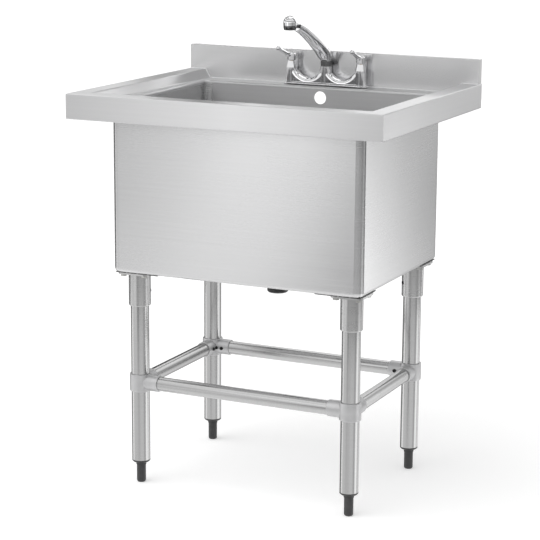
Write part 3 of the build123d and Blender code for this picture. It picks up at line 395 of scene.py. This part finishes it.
def moulded_plastic(name, colour, roughness=0.42):
    """Moulded plastic or rubber."""
    shader = Shader(name)
    return shader.finish(*plastic_look(shader, colour, roughness - 0.05, roughness + 0.12), 0.0)


def threaded_plastic(name, colour):
    """The foot's plastic, with a turned thread on the stem that it screws in by."""
    shader = Shader(name)
    dusty, rough, spark = plastic_look(shader, colour, 0.36, 0.52)
    x, y, z = shader.split(shader.place)
    centre = middle("foot_front_right")
    reach_x = shader.math("SUBTRACT", shader.math("ABSOLUTE", x), abs(centre.x))
    reach_y = shader.math("SUBTRACT", shader.math("ABSOLUTE", y), abs(centre.y))
    square = shader.math("ADD", shader.math("MULTIPLY", reach_x, reach_x),
                         shader.math("MULTIPLY", reach_y, reach_y))
    on_stem = shader.math("LESS_THAN", square, (FOOT_STEM_R + FOOT_STEM_MARGIN) ** 2)
    tooth = shader.math("PINGPONG", shader.math("DIVIDE", z, FOOT_PITCH), 0.5)
    thread = shader.math("MULTIPLY", tooth, on_stem)
    return shader.finish(dusty, rough, shader.relief(thread, 1.2 * MM, under=spark), 0.0)


# ------------------------------------------------------------------ geometry helpers
SOCKETS = {
    int: "NodeSocketInt", float: "NodeSocketFloat", Vector: "NodeSocketVector",
    bpy.types.Material: "NodeSocketMaterial",
}


class Grower(Tree):
    """A Geometry Nodes tree with named inputs, and the mesh that it makes."""

    def __init__(self, name, material):
        super().__init__(bpy.data.node_groups.new(name, "GeometryNodeTree"))
        self.name = name
        for way in ("INPUT", "OUTPUT"):
            self.tree.interface.new_socket("Geometry", in_out=way, socket_type="NodeSocketGeometry")
        self.source = self.add("NodeGroupInput")
        self.values = {}
        self.material = self.number("Material", material)

    def number(self, name, value):
        """Add a named input and keep the value that the modifier gives it."""
        socket = self.tree.interface.new_socket(name, in_out="INPUT", socket_type=SOCKETS[type(value)])
        self.values[socket.identifier] = value
        return self.source.outputs[name]

    def circle(self, sides, radius):
        return self.add("GeometryNodeCurvePrimitiveCircle", {
            "Resolution": sides, "Radius": radius}).outputs["Curve"]

    def sweep(self, curve, profile, **inputs):
        return self.add("GeometryNodeCurveToMesh", {
            "Curve": curve, "Profile Curve": profile, "Fill Caps": True, **inputs}).outputs["Mesh"]

    def spread(self, points, instance, **inputs):
        return self.add("GeometryNodeInstanceOnPoints", {
            "Points": points, "Instance": instance, **inputs}).outputs["Instances"]

    def moved(self, geometry, **inputs):
        return self.add("GeometryNodeTransform", {"Geometry": geometry, **inputs}).outputs["Geometry"]

    def grow(self, geometry):
        """Realize, set the material, evaluate once, and return a plain mesh object."""
        realized = self.add("GeometryNodeRealizeInstances", {"Geometry": geometry})
        finished = self.add("GeometryNodeSetMaterial", {
            "Geometry": realized.outputs["Geometry"], "Material": self.material})
        self.add("NodeGroupOutput", {"Geometry": finished.outputs["Geometry"]})
        carrier = link_object(self.name + "_carrier", bpy.data.meshes.new(self.name + "_carrier"))
        modifier = carrier.modifiers.new("Grow", "NODES")
        modifier.node_group = self.tree
        for identifier, value in self.values.items():
            modifier[identifier] = value
        graph = bpy.context.evaluated_depsgraph_get()
        mesh = bpy.data.meshes.new_from_object(carrier.evaluated_get(graph))
        carrier.modifiers.remove(modifier)
        bpy.data.objects.remove(carrier)
        if not mesh.polygons:
            raise RuntimeError(self.name + " grew no faces")
        mesh.name = self.name
        return link_object(self.name, mesh)


def grow_thread(name, centres, radius, pitch, low, high, depth, material):
    """A helical ridge round one or more equal upright pins that stand in a row along X."""
    grower = Grower(name, material)
    reach = grower.number("Radius", radius)
    spiral = grower.add("GeometryNodeCurveSpiral", {
        "Resolution": grower.number("Steps per turn", 40),
        "Rotations": grower.number("Turns", (high - low) / pitch),
        "Start Radius": reach, "End Radius": reach, "Height": grower.number("Height", high - low)})
    ridge = grower.sweep(spiral.outputs["Curve"], grower.circle(4, grower.number("Ridge", depth)))
    first = Vector((*centres[0], low))
    step = Vector((*centres[-1], low)) - first
    row = grower.add("GeometryNodeMeshLine", {
        "Count": len(centres), "Start Location": grower.number("First", first),
        "Offset": grower.number("Step", step)})
    return grower.grow(grower.spread(row.outputs["Mesh"], ridge))


def grow_ribs(name, centre, radius, count, height, width, taper, material):
    """Small upright ribs round a ring, leaning in or out with the taper, as a grip."""
    grower = Grower(name, material)
    ring = grower.add("GeometryNodeMeshCircle", {
        "Vertices": grower.number("Count", count), "Radius": grower.number("Radius", radius)})
    rib_radius = grower.number("Rib radius", width)
    rib = grower.add("GeometryNodeMeshCone", {
        "Vertices": 8, "Side Segments": 3, "Radius Top": rib_radius, "Radius Bottom": rib_radius,
        "Depth": grower.number("Rib height", height)})
    centred = grower.moved(rib.outputs["Mesh"], Translation=(0, 0, -height / 2))
    tilted = grower.moved(centred, Rotation=grower.number("Lean", Vector((0, taper, 0))))
    place = grower.add("GeometryNodeInputPosition").outputs[0]
    turn = grower.add("FunctionNodeAlignRotationToVector", {"Vector": place}, axis="X")
    ribs = grower.spread(ring.outputs["Mesh"], tilted, Rotation=turn.outputs["Rotation"])
    return grower.grow(grower.moved(ribs, Translation=grower.number("Centre", centre)))


def grow_tacks(name, centres, width, depth, count, radius, material):
    """Tack welds along the edges of equal plates whose centres form a rectangle."""
    grower = Grower(name, material)
    outline = grower.add("GeometryNodeCurvePrimitiveQuadrilateral", {
        "Width": grower.number("Plate width", width), "Height": grower.number("Plate depth", depth)})
    spots = grower.add("GeometryNodeResampleCurve", {
        "Curve": outline.outputs["Curve"], "Count": grower.number("Count", count)})
    tack = grower.add("GeometryNodeMeshUVSphere", {
        "Segments": 10, "Rings": 6, "Radius": grower.number("Tack radius", radius)})
    squat = grower.moved(tack.outputs["Mesh"], Scale=(1.0, 1.0, 0.7))
    one_plate = grower.spread(spots.outputs["Curve"], squat)
    xs, ys = ([centre[axis] for centre in centres] for axis in (0, 1))
    corners = grower.add("GeometryNodeMeshGrid", {
        "Vertices X": 2, "Vertices Y": 2, "Size X": grower.number("Span X", max(xs) - min(xs)),
        "Size Y": grower.number("Span Y", max(ys) - min(ys))})
    plates = grower.spread(corners.outputs["Mesh"], one_plate)
    centre = Vector((sum(xs) / len(xs), sum(ys) / len(ys), centres[0].z))
    return grower.grow(grower.moved(plates, Translation=grower.number("Middle", centre)))


def grow_seam(name, points, radius, material):
    """A dressed weld bead with faint ripples along a row of points."""
    grower = Grower(name, material)
    path = grower.add("GeometryNodeJoinGeometry")
    for place, (start, end) in enumerate(zip(points, points[1:])):
        line = grower.add("GeometryNodeCurvePrimitiveLine", {
            "Start": grower.number(f"Start {place}", start), "End": grower.number(f"End {place}", end)})
        grower.feed(path.inputs["Geometry"], line.outputs["Curve"])
    spaced = grower.add("GeometryNodeResampleCurve", {
        "Curve": path.outputs["Geometry"], "Length": grower.number("Ripple", 0.9 * radius)}, mode="LENGTH")
    beat = grower.math("PINGPONG", grower.add("GeometryNodeInputIndex").outputs[0], 1.5)
    swell = grower.add("ShaderNodeMath", {0: beat, 1: 0.10, 2: 0.9}, operation="MULTIPLY_ADD").outputs[0]
    bead = grower.circle(12, grower.number("Bead radius", radius))
    return grower.grow(grower.sweep(spaced.outputs["Curve"], bead, Scale=swell))


def hold(piece, body):
    """Tie a made piece to the body that carries it."""
    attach(piece, body)


# ------------------------------------------------------------------ operators
class SINK_OT_sheet(bpy.types.Operator):
    """Brushed finish on the worktop, splashback, bowl and leg plates, with painted light on the splashback and
    the bowl's back wall and painted shadow on the leg plates
    """

    bl_idname = "sink.sheet"
    bl_label = "Brushed Sheet"

    def execute(self, context):
        look = context.scene.sink_surfaces
        dress(["worktop"], brushed_sheet("worktop_brushed", look, look.steel, 0.34, mitred=True))
        # The splashback takes a lighter copy of the steel: painted light that brightens it beyond the worktop.
        dress(["splashback"], brushed_sheet("splashback_brushed", look, shade(look.steel, 1.1), 0.23))
        dress(["bowl"], brushed_sheet("bowl_brushed", look, look.steel, 0.26))
        # The bowl's back wall takes a lighter copy of the steel: painted light inside the bowl.
        dress(["bowl_back"], brushed_sheet("bowl_back_brushed", look, shade(look.steel, 1.08), 0.42))
        # The leg plates are painted nearly black: painted shadow, so that they read as the dark gap under the
        # bowl.
        plates = ["leg_plate_" + corner for corner in FEET]
        dress(plates, brushed_sheet("plate_scaled", look, shade(look.steel, 0.16), 0.45))
        dress(["waste_flange"], brushed_sheet("flange_brushed", look, shade(look.steel, 0.9), 0.4))
        return {"FINISHED"}


class SINK_OT_tubes(bpy.types.Operator):
    """Polished finish on the legs, braces and leg sockets"""

    bl_idname = "sink.tubes"
    bl_label = "Polished Tubes"

    def execute(self, context):
        look = context.scene.sink_surfaces
        dress(["leg_" + corner for corner in FEET], polished_tube("leg_polished", look, look.tube, "Z"))
        dress(BRACES_ACROSS, polished_tube("brace_across_polished", look, look.tube, "X"))
        dress(BRACES_ALONG, polished_tube("brace_along_polished", look, look.tube, "Y"))
        sockets = ["leg_socket_" + corner for corner in FEET]
        dress(sockets, polished_tube("socket_satin", look, shade(look.tube, 1.12), "Z", 0.28))
        return {"FINISHED"}


class SINK_OT_castings(bpy.types.Operator):
    """Satin finish on the corner connectors"""

    bl_idname = "sink.castings"
    bl_label = "Corner Castings"

    def execute(self, context):
        look = context.scene.sink_surfaces
        dress(["corner_connector_" + corner for corner in FEET], satin_casting("connector_satin", look.casting))
        return {"FINISHED"}


TAIL_BRASS = (0.70, 0.54, 0.26)
# Small metal pieces: material, nodes, colour and roughness
FIXINGS = (
    ("zinc_plated", ("socket_bolts",), (0.52, 0.52, 0.50), 0.3),
    ("blackened", ("socket_grub_screws", "connector_grub_screws"), (0.05, 0.05, 0.05), 0.4),
    ("turned_brass", ("tail_washers", "tail_nuts"), TAIL_BRASS, 0.28),
    ("cartridge_brass", ("cartridge_left", "cartridge_right"), (0.66, 0.50, 0.24), 0.3),
    ("spindle_brass", ("spindle_left", "spindle_right"), (0.68, 0.52, 0.26), 0.26),
    ("waste_screw_steel", ("waste_screw",), (0.55, 0.55, 0.55), 0.3),
)


class SINK_OT_fixings(bpy.types.Operator):
    """Finish on the bolts, grub screws, seals and the parts below the deck"""

    bl_idname = "sink.fixings"
    bl_label = "Fixings and Seals"

    def execute(self, context):
        for name, nodes, colour, roughness in FIXINGS:
            dress(nodes, plain_metal(name, colour, roughness))
        dress(SEALS, moulded_plastic("seal_rubber", (0.02, 0.02, 0.02), 0.6))
        return {"FINISHED"}


class SINK_OT_plastics(bpy.types.Operator):
    """Moulded finish on the feet, bushes, waste body and outlet insert"""

    bl_idname = "sink.plastics"
    bl_label = "Plastic Parts"

    def execute(self, context):
        look = context.scene.sink_surfaces
        dress(["foot_" + corner for corner in FEET], threaded_plastic("foot_black", look.plastic))
        dress(["leg_bush_" + corner for corner in FEET], moulded_plastic("bush_black", look.plastic))
        dress(["waste_body"], moulded_plastic("waste_black", shade(look.plastic, 0.8), 0.3))
        dress(["aerator_insert"], moulded_plastic("insert_grey", (0.25, 0.25, 0.25), 0.4))
        return {"FINISHED"}


class SINK_OT_tap(bpy.types.Operator):
    """Chrome on the tap's body, bonnets, levers, spout and outlet"""

    bl_idname = "sink.tap"
    bl_label = "Chrome Tap"

    def execute(self, context):
        look = context.scene.sink_surfaces
        dress(CHROMED, chrome_plate("tap_chrome", look.chrome))
        dress(DARK_CHROMED, chrome_plate("dark_chrome", shade(look.chrome, 0.28), 0.12))
        return {"FINISHED"}


class SINK_OT_welds(bpy.types.Operator):
    """Weld bead along the splashback's foot, and tack welds round the leg plates"""

    bl_idname = "sink.welds"
    bl_label = "Welds"

    def execute(self, context):
        detail = context.scene.sink_details
        look = context.scene.sink_surfaces
        weld = plain_metal("dressed_weld", shade(look.steel, 1.3), 0.30, 0.9 * MM)
        burnt = plain_metal("tack_weld", shade(look.steel, 0.7), 0.4, 0.9 * MM)
        splash_face = low_high("splashback")[0].y
        deck = low_high("tap_gasket")[0].z
        edge = low_high("worktop")[1]
        profile = ((edge.x - SEAM_INSET, edge.z), (edge.x - RIM_FLAT, edge.z), (edge.x - RIM_WIDTH, deck))
        right = [Vector((x, splash_face, z)) for x, z in profile]
        left = [Vector((-x, splash_face, z)) for x, z in reversed(profile)]
        hold(grow_seam("splashback_seam", right + left, detail.seam_radius, weld), "frame")
        plates = [middle("leg_plate_" + corner) for corner in FEET]
        low, high = low_high("leg_plate_front_right")
        top = [Vector((plate.x, plate.y, high.z - TACK_DROP)) for plate in plates]
        size = high - low
        tacks = grow_tacks("leg_plate_tacks", top, size.x, size.y, detail.tack_count, detail.tack_radius, burnt)
        hold(tacks, "frame")
        return {"FINISHED"}


class SINK_OT_threads(bpy.types.Operator):
    """Threads on the waste's tail and the tap's tails"""

    bl_idname = "sink.threads"
    bl_label = "Threads"

    def execute(self, context):
        detail = context.scene.sink_details
        look = context.scene.sink_surfaces
        low = low_high("waste_body")[0].z
        black = moulded_plastic("waste_thread_black", shade(look.plastic, 0.8), 0.3)
        waste = grow_thread("waste_tail_thread", [(0, 0)], WASTE_TAIL_R, detail.waste_pitch,
                            low + WASTE_THREAD_START, low + WASTE_THREAD_END, WASTE_RIDGE, black)
        hold(waste, "frame")
        nuts_low = low_high("tail_nuts")[0].z
        tails = [(middle("spindle_" + side).x, middle("tail_nuts").y) for side in SIDES]
        low = low_high("tap_body")[0].z
        brass = plain_metal("tail_brass", TAIL_BRASS, 0.28)
        thread = grow_thread("tap_tail_thread", tails, TAP_TAIL_R, detail.tail_pitch,
                             low + TAP_THREAD_START, nuts_low - TAP_THREAD_GAP, TAP_RIDGE, brass)
        hold(thread, "frame")
        return {"FINISHED"}


class SINK_OT_grips(bpy.types.Operator):
    """Ribs round the outlet housing and the spout's nut"""

    bl_idname = "sink.grips"
    bl_label = "Grips"

    def execute(self, context):
        detail = context.scene.sink_details
        look = context.scene.sink_surfaces
        dark = chrome_plate("grip_chrome", shade(look.chrome, 0.22), 0.16)
        low, high = low_high("spout_nut")
        nut = grow_ribs("spout_nut_ribs", middle("spout_nut"), (high.x - low.x) / 2, detail.collar_count,
                        (high.z - low.z) * NUT_RIB_SHARE, NUT_RIB_R, 0.0, dark)
        hold(nut, "frame")
        low, high = low_high("aerator_housing")
        centre = middle("aerator_housing")
        centre.z = low.z + GRIP_LIFT
        grip = grow_ribs("outlet_grip", centre, (high.x - low.x) / 2 - GRIP_INSET, detail.grip_count,
                         GRIP_RIB_H, GRIP_RIB_R, GRIP_LEAN, dark)
        hold(grip, "spout_swivel_body")
        return {"FINISHED"}


# ------------------------------------------------------------------ studio
CARD_DISTANCE = 1.6
FLOOR_REACH = 30.0
FLOOR_LIFT = 0.35             # glow that takes the floor up to white for the camera
KEY_AIM = Vector((0.55, 0.75, -1.3))
KEY_SPREAD = math.radians(70)
AIM_HEIGHT = 0.48681          # height of the point that the camera looks at
AIM_SIDE = -0.01808           # its shift to the camera's right
STRIP_STEPS = 12              # flat faces in one curved strip

# Heights on the sphere of directions, from -1 below to 1 above, between which a brightness fades into the next
BELOW_TO_RING = (-0.75, -0.40)
RING_TO_SKY = (-0.10, 0.05)
SKY_TO_OVERHEAD = (0.3, 0.85)

# Brightness round the horizon as metal reflects it: (degrees from straight ahead to the right, brightness)
RING_TOP = 2.5                # brightness that stands for white in the colour ramp
RING = (
    (-180, 0.55), (-158, 0.30), (-104, 0.30), (-96, 0.80), (-84, 1.90), (-76, 1.75), (-66, 1.20), (-46, 1.05),
    (-18, 1.05), (-3, 0.94), (8, 0.92), (30, 1.05), (56, 1.06), (68, 0.90), (76, 0.66), (84, 0.70), (96, 1.7),
    (106, 2.0), (113, 2.0), (122, 1.3), (140, 1.0), (152, 0.95), (165, 0.6), (180, 0.55),
)

# Cards round the sink: name, heights, and (degrees, brightness at each height)
CARDS = (
    ("card_front", (-0.60, -0.05, 0.15, 0.50, 1.30), (
        (-66, (1.10, 1.10, 1.15, 0.85, 1.10)), (-50, (1.05, 1.05, 1.10, 0.62, 1.10)),
        (-38, (1.02, 1.02, 1.12, 0.50, 1.15)), (-30, (1.02, 1.05, 1.25, 0.75, 1.55)),
        (-22, (1.00, 1.00, 1.12, 1.22, 1.85)), (-15, (0.98, 0.95, 0.55, 1.20, 1.85)),
        (-10, (0.95, 0.85, 0.10, 0.85, 1.65)), (-4, (0.92, 0.80, 0.02, 0.65, 1.35)),
        (2, (0.92, 0.80, 0.05, 0.60, 1.10)))),
    ("card_corner", (0.10, 0.50, 1.30), (
        (2, (0.30, 0.30, 0.60)), (14, (0.26, 0.28, 1.30)), (30, (0.24, 0.26, 1.20)),
        (60, (0.24, 0.28, 0.80)), (84, (0.26, 0.28, 0.30)), (100, (0.40, 0.45, 0.90)),
        (112, (0.24, 0.24, 0.60)), (136, (0.12, 0.12, 0.12)))),
    ("card_right", (-1.40, -0.20, 0.20, 0.50, 0.95), (
        (137, (2.2, 1.5, 2.40, 2.20, 0.80)), (140, (2.2, 1.5, 2.20, 1.90, 0.78)),
        (144, (2.1, 1.4, 1.65, 1.25, 0.75)), (149, (2.0, 1.2, 0.95, 0.75, 0.72)),
        (153, (1.9, 1.0, 0.60, 0.55, 0.70)), (157, (1.8, 1.0, 0.45, 0.45, 1.1)),
        (160, (1.8, 1.0, 0.1, 0.1, 1.4)), (178, (1.3, 0.7, 0.1, 0.1, 1.4)))),
    ("card_left", (0.12, 0.95), (
        (-150, (0.06, 0.06)), (-120, (0.06, 0.06)), (-112, (0.9, 0.9)), (-104, (0.9, 0.9)), (-98, (0.06, 0.06)),
        (-78, (0.06, 0.06)), (-70, (0.9, 0.85)), (-64, (0.95, 0.90)))),
    ("card_back", (1.00, 2.00), (
        (-230, (1.30, 1.30)), (-190, (1.60, 1.60)), (-166, (1.60, 1.60)), (-160, (1.50, 1.50)),
        (-155, (1.50, 1.50)), (-150, (1.48, 1.48)), (-145, (1.40, 1.40)), (-140, (1.05, 1.05)),
        (-130, (0.92, 0.92)))),
)

# Strips round the tap: name, distance, lower and upper height above the spout's foot,
# first and last angle, brightness
TAP_STRIPS = (
    ("strip_low", 0.55, 0.28, 0.35, -125, 125, 0.02),
    ("strip_middle", 0.55, 0.52, 0.66, -125, 125, 0.02),
    ("strip_high", 0.55, 0.95, 1.30, -125, 125, 0.03),
    ("strip_left", 0.55, 0.12, 1.30, -125, -104, 0.02),
    ("strip_right", 0.55, 0.12, 1.30, 98, 125, 0.02),
    ("strip_back", 0.38, 0.28, 0.72, 190, 230, 0.02),
)


def pale_surface(name, colour, lift):
    """Matt surface that keeps shadows, with a glow for the camera, metal and clear parts only."""
    material = empty_material(name)
    tree = Tree(material.node_tree)
    rays = tree.add("ShaderNodeLightPath").outputs
    mirrored = tree.math("MAXIMUM", rays["Is Glossy Ray"], rays["Is Transmission Ray"])
    seen = tree.math("MAXIMUM", rays["Is Camera Ray"], mirrored)
    power = tree.math("MULTIPLY", seen, lift)
    matt = tree.add("ShaderNodeBsdfDiffuse", {"Color": (*colour, 1)})
    glow = tree.add("ShaderNodeEmission", {"Color": (1, 1, 1, 1), "Strength": power})
    both = tree.add("ShaderNodeAddShader", {0: matt.outputs[0], 1: glow.outputs[0]})
    tree.add("ShaderNodeOutputMaterial", {"Surface": both.outputs[0]})
    return material


def toned_glow(name, layer):
    """Plain glow in the tones painted on a mesh's points."""
    material = empty_material(name)
    tree = Tree(material.node_tree)
    tone = tree.add("ShaderNodeVertexColor", layer_name=layer)
    glow = tree.add("ShaderNodeEmission", {"Color": tone.outputs["Color"]})
    tree.add("ShaderNodeOutputMaterial", {"Surface": glow.outputs[0]})
    return material


def studio_card(name, centre, distance, heights, tones, strength):
    """An upright curved card that only metal sees. tones lists (angle, brightness at each height)."""
    points, values = [], []
    for angle, column in tones:
        turn = math.radians(angle)
        x, y = centre[0] + distance * math.sin(turn), centre[1] - distance * math.cos(turn)
        points += [(x, y, height) for height in heights]
        values += [value * strength for value in column]
    rows = len(heights)
    faces = [(corner, corner + rows, corner + rows + 1, corner + 1)
             for corner in range(len(points) - rows) if (corner + 1) % rows]
    mesh = bpy.data.meshes.new(name)
    mesh.from_pydata(points, [], faces)
    paint = mesh.color_attributes.new(name="tone", type="FLOAT_COLOR", domain="POINT")
    for spot, value in zip(paint.data, values):
        spot.color = (value, value, value, 1)
    mesh.materials.append(toned_glow(name, "tone"))
    card = link_object(name, mesh)
    card.visible_camera = False
    card.visible_diffuse = False
    card.visible_shadow = False
    card.visible_transmission = False


class SINK_OT_studio(bpy.types.Operator):
    """Pale floor, one broad soft light, cards that only metal sees, even world light and the camera"""

    bl_idname = "sink.studio"
    bl_label = "Studio"

    def execute(self, context):
        studio = context.scene.sink_studio
        self.make_floor(studio)
        self.make_lamp(studio)
        self.make_cards(studio)
        self.make_world(context.scene, studio)
        self.make_camera(context.scene, studio)
        context.scene.view_settings.view_transform = "Standard"
        return {"FINISHED"}

    def make_floor(self, studio):
        """A pale floor, in whose place metal reflects the world's brightness below the horizon."""
        mesh = bpy.data.meshes.new("floor")
        signs = ((-1, -1), (1, -1), (1, 1), (-1, 1))
        mesh.from_pydata([(FLOOR_REACH * x, FLOOR_REACH * y, 0) for x, y in signs], [], [(0, 1, 2, 3)])
        mesh.materials.append(pale_surface("floor_paper", studio.floor, FLOOR_LIFT))
        floor = link_object("floor", mesh)
        floor.visible_glossy = False

    def make_lamp(self, studio):
        """A distant lamp as wide as a large softbox, which stays out of reflections."""
        data = bpy.data.lights.new("key_light", "SUN")
        data.energy = studio.key
        data.angle = KEY_SPREAD
        lamp = link_object("key_light", data)
        lamp.matrix_world = KEY_AIM.to_track_quat("-Z", "Y").to_matrix().to_4x4()
        lamp.visible_glossy = False

    def make_cards(self, studio):
        """Cards round the sink and strips round the tap."""
        for name, heights, tones in CARDS:
            studio_card(name, (0, 0), CARD_DISTANCE, heights, tones, studio.cards)
        tap = middle("tap_body")
        foot = low_high("spout")[0].z
        for name, distance, low, high, start, end, tone in TAP_STRIPS:
            turns = [start + (end - start) * step / STRIP_STEPS for step in range(STRIP_STEPS + 1)]
            tones = [(turn, (tone, tone)) for turn in turns]
            studio_card(name, tap, distance, (foot + low, foot + high), tones, studio.cards)

    def make_world(self, scene, studio):
        """White to the camera, even light on matt surfaces, and the graded horizon in metal."""
        world = bpy.data.worlds.new("even_light")
        scene.world = world
        world.use_nodes = True
        world.node_tree.nodes.clear()
        tree = Tree(world.node_tree)
        x, y, z = tree.split(tree.add("ShaderNodeTexCoord").outputs["Generated"])
        turn = tree.math("ARCTAN2", x, tree.math("MULTIPLY", y, -1.0))
        round_share = tree.math("ADD", tree.math("DIVIDE", turn, math.tau), 0.5)
        ramp = tree.add("ShaderNodeValToRGB", {"Fac": round_share})
        stops = ramp.color_ramp.elements
        for place, (angle, value) in enumerate(RING):
            position = angle / 360 + 0.5
            stop = stops[place] if place < 2 else stops.new(position)
            stop.position = position
            stop.color = (value / RING_TOP, value / RING_TOP, value / RING_TOP, 1)
        ring = tree.math("MULTIPLY", ramp.outputs["Color"], RING_TOP)
        sky = tree.span(z, *SKY_TO_OVERHEAD, 1.0, studio.overhead)
        level = tree.span(z, *RING_TO_SKY, ring, sky)
        reflected = tree.math("MULTIPLY", tree.span(z, *BELOW_TO_RING, studio.below, level), studio.cards)
        rays = tree.add("ShaderNodeLightPath").outputs
        matt = tree.math("MULTIPLY", rays["Is Diffuse Ray"], studio.ambient)
        metal = tree.math("MULTIPLY", rays["Is Glossy Ray"], reflected)
        plain = tree.math("MAXIMUM", rays["Is Camera Ray"], rays["Is Transmission Ray"])
        strength = tree.math("MAXIMUM", plain, tree.math("MAXIMUM", matt, metal))
        glow = tree.add("ShaderNodeBackground", {"Color": (1, 1, 1, 1), "Strength": strength})
        tree.add("ShaderNodeOutputWorld", {"Surface": glow.outputs[0]})

    def make_camera(self, scene, studio):
        """A camera that sees the sink from the front right, a little from above."""
        turn, lift, roll = studio.azimuth, studio.elevation, studio.roll
        right = Vector((math.cos(turn), math.sin(turn), 0))
        back = Vector((math.sin(turn) * math.cos(lift), -math.cos(turn) * math.cos(lift), math.sin(lift)))
        up = back.cross(right)
        side = math.cos(roll) * right + math.sin(roll) * up
        head = -math.sin(roll) * right + math.cos(roll) * up
        target = Vector((0, 0, AIM_HEIGHT)) + right * AIM_SIDE
        data = bpy.data.cameras.new("camera")
        data.sensor_width = 36.0
        data.lens = studio.lens
        camera = link_object("camera", data)
        turned = Matrix((side, head, back)).transposed().to_4x4()
        camera.matrix_world = Matrix.Translation(target + back * studio.distance) @ turned
        scene.camera = camera


class SINK_PT_panel(bpy.types.Panel):
    """Lists the sink's finishes and the studio"""

    bl_idname = "SINK_PT_panel"
    bl_label = "Utility Sink"
    bl_space_type = "VIEW_3D"
    bl_region_type = "UI"
    bl_category = "Utility Sink"

    def draw(self, context):
        for group in (context.scene.sink_surfaces, context.scene.sink_details, context.scene.sink_studio):
            box = self.layout.box()
            for name in group.__annotations__:
                box.prop(group, name)
        for operator in OPERATORS:
            self.layout.operator(operator.bl_idname)


GROUPS = {"sink_surfaces": SinkSurfaces, "sink_details": SinkDetails, "sink_studio": SinkStudio}
OPERATORS = (
    SINK_OT_sheet, SINK_OT_tubes, SINK_OT_castings, SINK_OT_fixings, SINK_OT_plastics,
    SINK_OT_tap, SINK_OT_welds, SINK_OT_threads, SINK_OT_grips, SINK_OT_studio,
)


def register():
    for group in GROUPS.values():
        bpy.utils.register_class(group)
    for operator in OPERATORS:
        bpy.utils.register_class(operator)
    bpy.utils.register_class(SINK_PT_panel)
    for name, group in GROUPS.items():
        setattr(bpy.types.Scene, name, bpy.props.PointerProperty(type=group))


def unregister():
    for name in GROUPS:
        delattr(bpy.types.Scene, name)
    bpy.utils.unregister_class(SINK_PT_panel)
    for operator in reversed(OPERATORS):
        bpy.utils.unregister_class(operator)
    for group in reversed(list(GROUPS.values())):
        bpy.utils.unregister_class(group)


def main():
    register()
    bpy.ops.sink.sheet()
    bpy.ops.sink.tubes()
    bpy.ops.sink.castings()
    bpy.ops.sink.fixings()
    bpy.ops.sink.plastics()
    bpy.ops.sink.tap()
    bpy.ops.sink.welds()
    bpy.ops.sink.threads()
    bpy.ops.sink.grips()
    bpy.ops.sink.studio()


if __name__ == "__main__":
    main()
